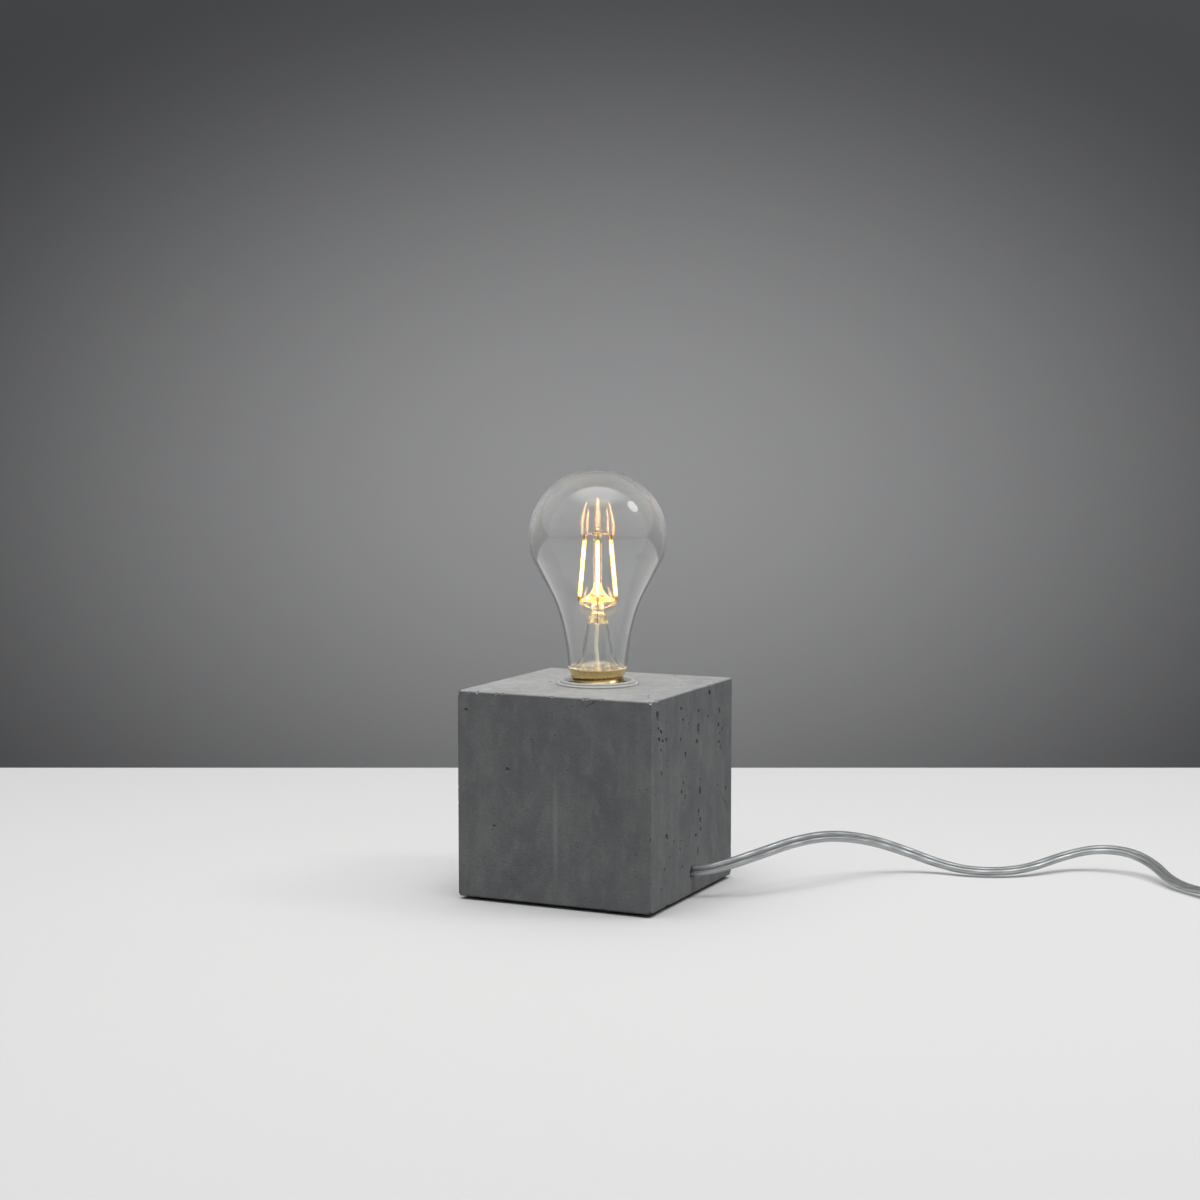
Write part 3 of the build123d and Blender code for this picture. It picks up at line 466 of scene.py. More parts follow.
def worked_metal(add, place, main, shade, roughness, mark_mm):
    """Bare or plated metal: a clear reflection, faint stains, and rolling marks along Z, drawn coarser."""
    drawn = add("Mapping", {"Vector": place, "Scale": (1.0, 1.0, 0.15)})
    stains = add("TexNoise", {"Vector": place, "Scale": per_mm(8), "Detail": 4.0})
    marks = add("TexNoise", {"Vector": drawn, "Scale": per_mm(mark_mm), "Detail": 3.0})
    tint = add("Mix", {0: stains, 6: main, 7: shade}, data_type="RGBA")
    gloss = add("MapRange", {"Value": marks, "To Min": roughness - 0.08, "To Max": roughness + 0.12})
    bump = add("Bump", {"Height": marks, "Strength": 0.15, "Distance": 0.02 * MM})
    return add("BsdfPrincipled", {"Base Color": tint, "Metallic": 1.0, "Roughness": gloss, "Normal": bump})


def blown_glass(add, place):
    """Clear soda-lime glass: sharp reflections and dark bent edges. A painted sheen, growing towards the top
    of the dome, whitens its rim in place of the lit bulb's haze."""
    level = add("SeparateXYZ", {0: place}).outputs["Z"]
    # Painted sheen: it grows towards the top of the dome.
    painted_sheen = add("MapRange", {
        "Value": level, "From Min": painted_sheen_low * MM, "From Max": painted_sheen_high * MM, "To Min": 0.1,
        "To Max": 1.0}, interpolation_type="SMOOTHSTEP")
    return clear_to_light(add, add("BsdfPrincipled", {
        "Base Color": "#fdfefd", "Transmission Weight": 1.0, "Roughness": 0.0, "IOR": 1.5,
        "Sheen Weight": painted_sheen, "Sheen Roughness": 0.45}))


def glass_with_painted_glow(add, place, painted_glow_tint, patch_mm, clear_share, brightest):
    """Thick glass of the stem and the weld, with a painted glow in soft patches for the filaments' light it
    carries.
    """
    patches = add("TexNoise", {"Vector": place, "Scale": per_mm(patch_mm), "Detail": 2.0})
    # Painted glow: the glass emits in patches where it would carry the filaments' light.
    glow = add("MapRange", {"Value": patches, "From Min": clear_share, "From Max": 0.72, "To Max": brightest})
    return clear_to_light(add, add("BsdfPrincipled", {
        "Base Color": "#fff6e2", "Transmission Weight": 1.0, "Roughness": 0.05, "IOR": 1.5,
        "Emission Color": painted_glow_tint, "Emission Strength": glow}))


def lit_chips(add, place):
    """The chips inside a lit filament: white-hot to the eye, a little uneven along the row of chips."""
    chips = add("TexNoise", {"Vector": place, "Scale": per_mm(1.2), "Detail": 1.0})
    glow = add("MapRange", {"Value": chips, "From Min": 0.3, "From Max": 0.7, "To Min": 24.0, "To Max": 44.0})
    return add("BsdfPrincipled", {
        "Base Color": "#fff2cf", "Roughness": 0.5, "Emission Color": "#fff0c4", "Emission Strength": glow})


def phosphor_silicone(add, place):
    """Silicone with yellow phosphor round the chips: golden, half clear, glowing from inside."""
    grain = add("TexNoise", {"Vector": place, "Scale": per_mm(0.8), "Detail": 2.0})
    tint = add("Mix", {0: grain, 6: "#ffb42a", 7: "#ffca55"}, data_type="RGBA")
    gold = add("BsdfPrincipled", {
        "Base Color": tint, "Roughness": 0.35, "Emission Color": tint, "Emission Strength": 0.9})
    return add("MixShader", {0: 0.55, 1: add("BsdfTransparent"), 2: gold})


def clear_pvc(add, place):
    """Extruded clear PVC: soft gloss, faintly cloudy, with the silvery strands showing through."""
    haze = add("TexNoise", {"Vector": place, "Scale": per_mm(5), "Detail": 3.0})
    gloss = add("MapRange", {"Value": haze, "To Min": 0.06, "To Max": 0.2})
    return clear_to_light(add, add("BsdfPrincipled", {
        "Base Color": "#eceeee", "Transmission Weight": 1.0, "Roughness": gloss, "IOR": 1.53}))


def woven_strap(add, place):
    """Woven nylon hook-and-loop strap: a fine crossed weave with a dull sheen. The weave is drawn twice
    as coarse as it is. A wave's bands lie about a third of its size apart."""
    threads = []
    for way in "XY":
        wave = add("TexWave", {"Vector": place, "Scale": per_mm(7.5), "Distortion": 1.0}, bands_direction=way)
        threads.append(wave.outputs["Fac"])
    weave = add("Math", {0: threads[0], 1: threads[1]}, operation="MULTIPLY")
    tint = add("Mix", {0: weave, 6: "#1c1c1e", 7: "#3a3a3d"}, data_type="RGBA")
    bump = add("Bump", {"Height": weave, "Strength": 0.8, "Distance": 0.2 * MM})
    return add("BsdfPrincipled", {"Base Color": tint, "Roughness": 0.9, "Sheen Weight": 0.3, "Normal": bump})


# Finishes of the pieces made here
concrete = finish("cast_concrete", cast_concrete)
cement = finish("basing_cement", moulded, "#e8e2d2", "#d3c9b2", 0.85, 0.8, 0.1)
brass = finish("rolled_brass", worked_metal, "#dcb766", "#c79f4c", 0.3, 1.2)
cap_brass = finish("drawn_brass_cap", worked_metal, "#ecd6a2", "#d2b478", 0.26, 3.0)
nickel_wire = finish("nickel_wire", worked_metal, "#d2ccc0", "#bfb8aa", 0.28, 0.8)
tinned_copper = finish("tinned_copper_strands", worked_metal, "#d6d7d8", "#bcbec0", 0.34, 0.6)
clad_wire = finish("copper_clad_wire", worked_metal, "#a8694a", "#8a523a", 0.35, 0.8)
gilt_tab = finish("gilt_filament_tab", worked_metal, "#f0c060", "#d9a13e", 0.3, 0.8)
glass = finish("blown_soda_lime_glass", blown_glass)
# Painted glow on the flare and the weld, and painted glints on the press, standing in for the filaments'
# light in the glass.
flare_painted_glow = finish("flare_glass_painted_glow", glass_with_painted_glow, "#ffc558", 3.0, 0.05, 0.6)
press_painted_glints = finish("press_glass_painted_glints", glass_with_painted_glow, "#ffe0a4", 1.8, 0.5, 0.6)
weld_painted_glow = finish("weld_glass_painted_glow", glass_with_painted_glow, "#fff4de", 1.8, 0.42, 0.2)
filament_core = finish("lit_filament_core", lit_chips)
phosphor = finish("phosphor_silicone", phosphor_silicone)
pvc = finish("extruded_clear_pvc", clear_pvc)
strap = finish("woven_nylon_strap", woven_strap)

# Finishes of the CAD nodes
dress(finish("moulded_rubber", moulded, "#202020", "#2a2a2a", 0.8, 0.6), "feet")
dress(finish("moulded_polypropylene", moulded, "#232324", "#2b2b2c", 0.55, 0.7),
      "base_cover", "cord_saddle")
dress(finish("natural_nylon", moulded, "#c6c4bc", "#b9b7ae", 0.5, 0.8), "cover_anchors")
dress(finish("pale_grey_thermoset", moulded, "#bfbfbe", "#b5b5b3", 0.45, 0.9),
      "lampholder_shell", "lampholder_cap")
dress(finish("unglazed_steatite", moulded, "#e2ded3", "#d4cfc3", 0.75, 0.5, 0.06), "contact_block")
dress(finish("black_vitrified_glass", moulded, "#141415", "#1c1c1e", 0.22, 1.5), "cap_insulator")
dress(finish("silicone_sleeve", moulded, "#f6f1e2", "#eee7d3", 0.5, 0.7), "bulb_leads")
dress(finish("glass_epoxy_board", moulded, "#2d5a34", "#26492c", 0.45, 0.5), "driver_board")
dress(finish("shrunk_sleeve", moulded, "#3b2c22", "#2c211a", 0.3, 1.5), "driver_capacitor")
dress(finish("sintered_ferrite", moulded, "#3c3c3f", "#2e2e31", 0.6, 0.4, 0.05), "driver_choke")
dress(finish("clear_pvc_on_tinned_wire", moulded, "#c4c6c8", "#b0b3b6", 0.25, 1.0),
      "live_lead", "neutral_lead")
dress(finish("moulded_white_abs", moulded, "#e9e9e5", "#dfdfda", 0.36, 0.8), "switch_lower", "switch_upper")
dress(finish("polished_white_abs", moulded, "#f2f2ee", "#e8e8e3", 0.24, 1.2), "switch_rocker")
dress(finish("moulded_white_pvc", moulded, "#e6e6e1", "#dadad4", 0.5, 0.7, 0.05), "plug_boot", "plug_body")
dress(finish("zinc_plated_steel", worked_metal, "#c9c9c6", "#b4b6b8", 0.32, 1.0),
      "cover_screws", "saddle_screws", "threaded_nipple", "nipple_washer", "nipple_nut", "switch_screws",
      "terminal_screws")
dress(finish("tinned_solder", worked_metal, "#c4c4c2", "#adaeae", 0.35, 1.0), "bulb_contact")
dress(finish("nickel_plated_pin", worked_metal, "#d8d6d0", "#c6c4be", 0.2, 1.4), "plug_pins")
dress(brass, "centre_contact", "contact_rivets", "terminal_posts", "switch_terminals", "switch_spring")
dress(nickel_wire, "upper_wires", "lower_wires")


# Concrete cube

# Faces, by the axis that they stand across and a corner on them
block_faces = {
    "front": (1, block_low),
    "back": (1, block_high),
    "right": (0, block_high),
    "left": (0, block_low),
    "top": (2, block_high),
}

# Pits that stand out, by face: the place across it, the level, and the half-sizes across, along and deep
seen_pits = {
    "front": [
        (-45.3, 91.2, 1.1, 0.7, 0.9), (-23.3, 63.9, 1.0, 1.1, 0.9), (8.0, 65.7, 0.6, 0.5, 0.7),
        (1.6, 81.7, 0.5, 0.5, 0.6), (-30.6, 36.7, 0.9, 0.7, 0.8), (-11.2, 79.0, 0.8, 0.4, 0.5),
        (-28.4, 37.6, 0.4, 0.4, 0.5), (-31.6, 34.6, 0.4, 0.5, 0.5),
    ],
    "right": [
        (-42.6, 92.6, 1.7, 2.6, 1.3), (-41.6, 86.8, 1.1, 1.1, 1.0), (-38.4, 84.6, 1.1, 1.4, 1.0),
        (-40.8, 81.6, 1.3, 1.2, 1.0), (-36.6, 80.2, 1.1, 1.0, 0.9), (-14.6, 92.5, 1.4, 1.0, 1.2),
        (-12.9, 87.0, 1.1, 0.9, 1.0), (6.6, 88.8, 1.1, 1.0, 1.0), (6.2, 80.2, 1.5, 2.6, 1.3),
        (4.4, 74.4, 1.3, 1.3, 1.2), (20.3, 96.0, 1.5, 1.2, 1.2), (31.8, 78.6, 1.5, 1.3, 1.2),
        (32.7, 70.5, 1.1, 1.0, 1.0), (-9.7, 70.2, 1.3, 1.5, 0.8), (-14.0, 53.0, 1.0, 1.1, 0.8),
        (8.6, 49.6, 1.3, 2.4, 1.0), (7.0, 40.2, 1.0, 1.3, 0.9), (9.0, 35.6, 1.1, 1.7, 1.0),
        (-31.5, 34.6, 1.3, 1.9, 1.2), (3.9, 29.3, 1.4, 0.9, 1.0), (6.4, 21.0, 0.8, 2.4, 0.9),
    ],
}
pit_seed = 7
pit_room = 1.4
pit_hollow = 0.9

# Strings of small pits on the right face, where air ran up the mould: both ends, and how many
pit_strings = [
    ((-44.0, 89.0), (-38.0, 74.0), 9),
    ((6.0, 91.0), (7.5, 73.0), 6),
    ((33.4, 87.3), (33.5, 67.9), 4),
    ((8.7, 55.0), (8.9, 30.9), 6),
]
string_room = 1.35
string_stagger = 0.3
string_wander = 0.9
string_pit_radius = (0.5, 1.0)
string_pit_stretch = (1.0, 2.1)

# Pits scattered by chance, and what they keep clear of
scattered_pits = {"front": 2, "right": 60, "left": 56, "back": 40, "top": 18}
scatter_reach = 46.0
scatter_levels = (6.0, 96.0)
scatter_smallest = 0.22
scatter_growth = 0.75
scatter_stretch = (0.8, 1.6)
clear_of_ring = 21.5
clear_of_cord_hole = 6.0

# Chips along the edges and off the corners
chip_seed = 21
first_chip_number = 100
chips_per_edge = 15
chip_end_gap = 4.0
chip_outset = 0.3
chip_shortest = 0.7
chip_growth = 3.2
chip_depth = (0.8, 1.15)
chip_gouge = 0.7
corner_reach = (1.3, 2.1)
corner_stretch = (0.8, 1.5)

# Fine cracks: the face, the line on it, the width and the depth
cracks = [
    ("front", [(16.6, 95.2), (18.0, 96.6), (20.3, 97.4), (21.5, 98.6), (22.9, 98.9)], 0.6, 0.7),
    ("right", [(33.8, 46.0), (36.5, 44.6), (39.0, 41.0), (42.6, 38.9), (45.2, 34.9), (48.0, 32.4)],
     0.55, 0.7),
]
crack_outset = 0.3
crack_run_out = 0.35
crease_angle = 32.0
flat_enough = 0.9999


def lump(work, place, size, seed, fineness=2):
    """Adds an uneven ball to a mesh, from its place and three half-sizes in millimetres."""
    unevenness, coarseness = 0.45, 1.3
    seed_steps = (3.1, 1.7, 0.9)
    made = bmesh.ops.create_icosphere(work, subdivisions=fineness, radius=1.0)["verts"]
    shift = Vector([seed * step for step in seed_steps])
    for vert in made:
        swell = 1.0 + unevenness * noise.noise(vert.co * coarseness + shift)
        grown = Vector([c * s * swell for c, s in zip(vert.co, size)])
        vert.co = (Vector(place) + grown) * MM


def spaced(spots, place, reach):
    """Whether a place keeps clear of the spots so far, and if so adds it to them."""
    if any((place - other).length < reach + room for other, room in spots):
        return False
    spots.append((place, reach))
    return True


def on_face(face, a, b):
    """A point on one of the block's faces, from a place across it and a level or second place."""
    axis, corner = block_faces[face]
    place = [a, b]
    place.insert(axis, corner[axis])
    return Vector(place)


def flat_size(face, across, along, deep):
    """Three half-sizes of a pit that lies on one of the block's faces."""
    size = [across, along]
    size.insert(block_faces[face][0], deep)
    return size


def cut_pits(work):
    """Air pits in the block's faces: those that stand out, then the small ones scattered by chance."""
    draw = random.Random(pit_seed)
    spots = [(on_face("right", 0.0, cord_hole_level), clear_of_cord_hole),
             (on_face("top", 0.0, 0.0), clear_of_ring)]
    kept_clear = len(spots)

    def cut(face, a, b, across, along, deep, room=pit_room, fineness=2):
        place = on_face(face, a, b)
        if spaced(spots, place, room * max(across, along)):
            lump(work, place, flat_size(face, across, along, deep), len(spots) - kept_clear, fineness)

    for face, pits in seen_pits.items():
        for pit in pits:
            cut(face, *pit, fineness=3)
    for (a0, b0), (a1, b1), count in pit_strings:
        for i in range(count):
            share = (i + draw.uniform(-string_stagger, string_stagger)) / (count - 1)
            a = a0 + (a1 - a0) * share + draw.uniform(-string_wander, string_wander)
            b = b0 + (b1 - b0) * share
            radius = draw.uniform(*string_pit_radius)
            along = radius * draw.uniform(*string_pit_stretch)
            cut("right", a, b, radius, along, pit_hollow * radius, string_room)
    for face, count in scattered_pits.items():
        levels = (-scatter_reach, scatter_reach) if face == "top" else scatter_levels
        for _ in range(count):
            a = draw.uniform(-scatter_reach, scatter_reach)
            b = draw.uniform(*levels)
            radius = scatter_smallest + scatter_growth * draw.random() ** 3
            along = radius * draw.uniform(*scatter_stretch)
            cut(face, a, b, radius, along, pit_hollow * radius)


def cut_chips(work):
    """Small chips along the block's edges and off its corners."""
    draw = random.Random(chip_seed)
    low, high = block_low, block_high
    spots = []
    number = first_chip_number
    for axis in range(3):
        others = [i for i in range(3) if i != axis]
        for ends in product((0, 1), repeat=2):
            for _ in range(chips_per_edge):
                place = Vector((0, 0, 0))
                place[axis] = draw.uniform(low[axis] + chip_end_gap, high[axis] - chip_end_gap)
                for other, end in zip(others, ends):
                    place[other] = (low, high)[end][other] + (chip_outset if end else -chip_outset)
                half = chip_shortest + chip_growth * draw.random() ** 2
                deep = draw.uniform(*chip_depth) + chip_gouge * draw.random() ** 4
                size = [deep, deep, deep]
                size[axis] = half
                if spaced(spots, place, pit_room * half):
                    number += 1
                    lump(work, place, size, number)
    for corner in product(*zip(low, high)):
        reach = draw.uniform(*corner_reach)
        number += 1
        lump(work, corner, (reach, reach, reach * draw.uniform(*corner_stretch)), number)


def cut_crack(work, face, line, width, deep):
    """A fine crack: a wedge along a line of places on a face, that runs out at both ends."""
    outward = {"front": Vector((0, -1, 0)), "right": Vector((1, 0, 0))}[face]
    places = [on_face(face, a, b) for a, b in line]
    rows = []
    for i, place in enumerate(places):
        share = math.sin(math.pi * (i + crack_run_out) / (len(places) - 1 + 2 * crack_run_out))
        half = direction(places, i).cross(outward) * width / 2 * share
        mouth = place + outward * crack_outset
        corners = (mouth + half, mouth - half, place - outward * deep * share)
        rows.append([work.verts.new(corner * MM) for corner in corners])
    for first, second in zip(rows, rows[1:]):
        for i in range(3):
            j = (i + 1) % 3
            work.faces.new((first[i], first[j], second[j], second[i]))
    work.faces.new(rows[0])
    work.faces.new(rows[-1])


def shape_cutter(work):
    """All that is missing from the casting."""
    cut_pits(work)
    cut_chips(work)
    for crack in cracks:
        cut_crack(work, *crack)
    face_outward(work)


def make_concrete_block():
    """The cube with the pits, chips and cracks of the real casting cut out of it."""
    cutter_mesh = bpy.data.meshes.new("pit_cutter")
    rework(cutter_mesh, shape_cutter)
    cutter = link_object("pit_cutter", cutter_mesh)

    mesh = nodes["concrete_block"].data.copy()
    mesh.name = "pitted_block"
    rework(mesh, lambda work: bmesh.ops.remove_doubles(work, verts=work.verts, dist=1e-6))
    for attribute in [a for a in mesh.attributes if a.name == "custom_normal"]:
        mesh.attributes.remove(attribute)
    block = link_object("pitted_block", mesh)
    cut = block.modifiers.new("pits", "BOOLEAN")
    cut.operation = "DIFFERENCE"
    cut.solver = "EXACT"
    cut.object = cutter
    bpy.context.view_layer.update()
    done = bpy.data.meshes.new_from_object(block.evaluated_get(bpy.context.evaluated_depsgraph_get()))
    block.modifiers.clear()
    block.data = done
    bpy.data.objects.remove(cutter)
    rework(done, lambda work: bmesh.ops.triangulate(work, faces=work.faces, ngon_method="BEAUTY"))
    done.materials.clear()
    done.materials.append(concrete)
    done.set_sharp_from_angle(angle=math.radians(crease_angle))
    for face in done.polygons:
        face.use_smooth = max(abs(c) for c in face.normal) < flat_enough
    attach(block, "lamp")
    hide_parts("concrete_block")


make_concrete_block()


# Bulb


def glass_side(inset):
    """The bulb's outline from the top of the globe to the end of the neck, moved in by an inset."""

    def cosine(angle):
        return math.cos(math.radians(angle))

    cone_start = globe_radius * cosine(globe_under)
    cone_start -= shoulder_radius * (cosine(globe_under) - cosine(cone_angle))
    cone_end = neck_radius + lower_neck_radius * (cosine(neck_taper) - cosine(upper_neck_angle))
    cone_end += upper_neck_radius * (cosine(upper_neck_angle) - cosine(cone_angle))
    steps = [
        (globe_radius - inset, -90.0 - globe_under),
        (shoulder_radius - inset, globe_under - cone_angle),
        (None, (cone_start - cone_end) / math.sin(math.radians(cone_angle))),
        (upper_neck_radius + inset, cone_angle - upper_neck_angle),
        (lower_neck_radius + inset, upper_neck_angle - neck_taper),
        (None, neck_straight),
        (neck_lip_radius - inset, neck_taper - neck_lip_angle),
        (None, neck_lip_length),
    ]
    return along_arcs(steps, Vector((0, globe_centre + globe_radius - inset)), 0.0)


def make_bulb_glass():
    """The blown envelope, with its weld just above the cap."""
    outline = glass_side(0) + glass_side(glass_wall)[::-1]
    piece = add_piece("glass_envelope", turned(outline), glass, "bulb", "bulb_glass", "bulb_glass")
    # The faces at the weld take the painted glow.
    piece.data.materials.append(weld_painted_glow)
    for face in piece.data.polygons:
        face.material_index = int(face.center.z / MM < cap_top + weld_height)


# Glass stem: levels and radii of its foot, tube, press, waist, flare, pillar and bead
stem_segments = 96
stem_wall = 0.9
stem_foot_level = cap_top + 0.9
stem_foot_radius = neck_radius - glass_wall - 0.25
stem_tube_level = stem_foot_level + 7.0
stem_tube_radius = 7.6
flare_level = filament_foot_level - 2.2
flare_radius = 8.6
flare_edge = 0.7
flare_round = 0.2
flare_top = flare_level + flare_edge
flare_end = flare_top + 8.0
waist_level = flare_level - 6.0
waist_radius = 3.0
waist_floor = waist_level + 0.8
press_level = waist_level - 5.0
press_radius = 5.2
pillar_radius = 1.9
bead_radius = 2.6
foot_hollow = (0.3, 0.34)
press_hollow = (0.62, 0.62)
flare_hollow = (0.26, 0.4)


def stem_tube(inset):
    """The stem's side from its foot up to the waist, moved in by an inset."""
    foot = (stem_foot_radius - inset, stem_foot_level)
    tube = (stem_tube_radius - inset, stem_tube_level)
    press = (press_radius - inset, press_level)
    waist = (waist_radius - inset, waist_level)
    return [foot, *hollow_arc(foot, tube, foot_hollow), press, *hollow_arc(press, waist, press_hollow)]


def make_bulb_stem():
    """Foot fused in the neck, hollow tube, press, flare and the pillar with its bead."""
    under_flare = flare_level - 0.01
    press_painted_glint_level = press_level - 0.5
    pillar_top = (pillar_radius, bead_level - math.sqrt(bead_radius**2 - pillar_radius**2))
    flare_rim = (flare_radius, flare_top)
    outline = stem_tube(0)
    outline += [(waist_radius, flare_level), (flare_radius - flare_round, flare_level)]
    outline += [(flare_radius, flare_level + flare_round), flare_rim]
    outline += hollow_arc(flare_rim, (pillar_radius, flare_end), flare_hollow)
    outline += [pillar_top]
    outline += arc_through(pillar_top, (bead_radius, bead_level), (0, bead_level + bead_radius))
    outline += [(0, waist_floor)]
    outline += stem_tube(stem_wall)[::-1]
    shape = turned(outline, stem_segments)
    piece = add_piece("glass_stem", shape, glass, "bulb", "bulb_glass", "bulb_stem")
    # The flare gets painted glow, the press gets painted glints and the foot's weld gets painted glow.
    for material in (flare_painted_glow, press_painted_glints, weld_painted_glow):
        piece.data.materials.append(material)
    for face in piece.data.polygons:
        level = face.center.z / MM
        if under_flare < level < flare_end:
            face.material_index = 1
        elif press_painted_glint_level < level <= under_flare:
            face.material_index = 2
        elif level < stem_foot_level + weld_height:
            face.material_index = 3


def make_cement():
    """The pale ring of cement that holds the glass in the cap, hollowed where the glass sits in it."""
    bottom, top = cap_top - cap_flare + cement_gap, cap_top - cement_gap
    rim = cap_high.x - brass_sheet - cement_rim_gap
    inner = cap_radius - cement_wall
    shoulder = cap_top - cement_depth
    outline = [(inner, bottom), (cap_radius - cement_foot_inset, bottom)]
    outline += [(cap_radius + cement_shoulder_outset, shoulder), (rim, top), (rim - cement_lip, top)]
    outline += [(rim - inset, cap_top - drop) for inset, drop in cement_hollow]
    outline += [(inner, shoulder)]
    shape = turned(outline, stem_segments)
    add_piece("cap_cement", shape, cement, "bulb", "steatite", smooth=False)


def make_stem_wires():
    """Two copper-clad wires from the sleeved leads up through the press into the stem's waist."""
    wire_radius = 0.28
    lead_top = span("bulb_leads")[1].z
    marks = [(1.7, lead_top - 3.0), (1.7, lead_top), (1.2, press_level + 2.5), (0.8, waist_level),
             (0.7, flare_level + 1.5)]
    shapes = []
    for side in (-1.0, 1.0):
        line = [at_angle(side * radius, filament_angles[0], level) for radius, level in marks]
        shapes.append(thin_wire(line, wire_radius))
    add_piece("stem_wires", join_shapes(shapes), clad_wire, "bulb", "nickel_wire")


def filament_line(angle, shares):
    """Points along a filament at shares of its length."""
    run = filament_head_radius - filament_foot_radius
    rise = math.sqrt(filament_length**2 - run**2)
    foot = at_angle(filament_foot_radius, angle, filament_foot_level)
    head = at_angle(filament_head_radius, angle, filament_foot_level + rise)
    return [foot.lerp(head, share) for share in shares]


def make_filament_tabs():
    """A flat gilt tab on each end of each filament, folded over the wire that carries it."""
    half_width, half_thick = 0.62, 0.42
    overlap, reach = 0.5, 1.9
    section = [(-half_width, -half_thick), (half_width, -half_thick), (half_width, half_thick),
               (-half_width, half_thick)]
    shapes = []
    for angle in filament_angles:
        foot, head = filament_line(angle, (0.0, 1.0))
        along = (head - foot).normalized()
        across = at_angle(1.0, angle + 90.0, 0.0)
        for end, way in ((head, along), (foot, -along)):
            shapes.append(swept([end - way * overlap, end + way * reach], [across] * 2, [section] * 2))
    add_piece("filament_tabs", join_shapes(shapes), gilt_tab, "bulb", "nickel_wire", smooth=False)


def make_bead_wire():
    """The wire that ties the upper ends together, wound round the bead."""
    turns, steps = 2.6, 60
    wire_radius, bite = 0.25, 0.05
    start, rise = bead_level - 0.7, 1.5
    radius = bead_radius + wire_radius - bite
    line = [at_angle(radius, 360.0 * turns * i / steps, start + rise * i / steps) for i in range(steps + 1)]
    add_piece("bead_wire", thin_wire(line, wire_radius), nickel_wire, "bulb", "nickel_wire")


def thread_dent(low, high):
    """How far a rolled lamp thread dips at an angle and a level, easing off at both its ends."""

    def dent(angle, level):
        wave = 0.5 - 0.5 * math.cos(math.tau * level / thread_pitch - angle)
        ease = smooth_step((level - low) / thread_ease) * smooth_step((high - level) / thread_ease)
        return thread_depth * wave * ease

    return dent


def even_levels(low, high, steps):
    return [low + (high - low) * i / steps for i in range(steps + 1)]


def make_bulb_cap():
    """The brass cap: a rolled thread below and a plain flare that grips the glass."""
    flare_bottom = cap_top - cap_flare
    rim = cap_high.x - brass_sheet
    outer_rim = rim + brass_sheet
    bulge_out, bulge_up = cap_flare_bulge
    flare_middle = (cap_radius + bulge_out, flare_bottom + bulge_up)
    lip = (outer_rim, cap_top - cap_lip_drop)
    levels = even_levels(cap_bottom, flare_bottom, 56)[1:]
    outline = [(cap_radius - inset, cap_bottom + rise) for inset, rise in cap_foot_round]
    outline += [(cap_radius, level) for level in levels]
    outline += arc_through((cap_radius, flare_bottom), flare_middle, lip, 8)
    outline += [(outer_rim - cap_lip_round, cap_top), (rim, cap_top)]
    outline += [(cap_radius - brass_sheet, level) for level in levels[::-1]]
    outline += [(cap_radius - cap_foot_inner_inset, cap_bottom)]
    thread = thread_dent(cap_bottom + cap_thread_start, flare_bottom)
    shape = turned(outline, thread_segments, thread)
    add_piece("threaded_cap", shape, cap_brass, "bulb", "cap_brass", "bulb_cap")


def make_screw_shell():
    """The lampholder's brass screw shell, rolled to take the cap's thread."""
    inner_radius = cap_radius + shell_play
    outer_radius = inner_radius + brass_sheet
    low = shell_low.z + brass_sheet
    levels = even_levels(low, shell_high.z, 48)
    outline = [(shell_hole_radius, shell_low.z), (outer_radius, shell_low.z)]
    outline += [(outer_radius, level) for level in levels]
    outline += [(inner_radius, level) for level in levels[::-1]]
    outline += [(shell_hole_radius, low)]
    thread = thread_dent(low + shell_thread_start, shell_high.z - shell_thread_end)
    shape = turned(outline, thread_segments, thread)
    add_piece("threaded_shell", shape, brass, "lamp", "brass", "screw_shell")


def round_ended(path, radius):
    """A rod along a path with rounded ends."""
    ends = [0.45, 0.8, 0.95]
    shares = ends + [1.0] * (len(path) - 2 * len(ends)) + ends[::-1]
    return rod(path, [ring(radius * share) for share in shares])


def make_filaments():
    """Six lit filaments: a white-hot row of chips in a golden coating."""
    coating_shares = [0.0, 0.008, 0.02, *even_levels(0.035, 0.965, 12), 0.98, 0.992, 1.0]
    chip_shares = even_levels(0.03, 0.97, 13)
    chip_radius = 0.55 * filament_radius
    cores, coatings = [], []
    for angle in filament_angles:
        cores.append(round_ended(filament_line(angle, chip_shares), chip_radius))
        coatings.append(round_ended(filament_line(angle, coating_shares), filament_radius))
    add_piece("filament_chips", join_shapes(cores), filament_core, "bulb", "filament_glow")
    add_piece("filament_coatings", join_shapes(coatings), phosphor, "bulb", "filament_glow",
              *[f"filament_{i}" for i in range(1, 7)])


make_bulb_glass()
make_bulb_stem()
make_cement()
make_stem_wires()
make_filament_tabs()
make_bead_wire()
make_bulb_cap()
make_screw_shell()
make_filaments()


# Cord


def switch_end(length):
    """A point on the line through the switch, from the end where the cord goes in."""
    return Vector(switch_place) + at_angle(length, switch_heading, 0.0)


# The points repeat the route of the solids
free_route = [
    (cord_inner_joint, 0, cord_hole_level), cord_exit, (64, 4, 15.5), (77, 17, 20), (88, 38, 23.5),
    (98, 62, 23), (110, 84, 18), (124, 98, 11), (140, 103, 5), (156, 101, 2.9), (172, 105.5, 2.9),
    (184, 115.5, 4), (196, 135, 7.5), (210.5, 143, 11), (227, 143, 11), (241, 135, 7.5), (254, 114.5, 3.4),
    (271, 101, 2.8), switch_end(-switch_lead_in), switch_end(0),
]

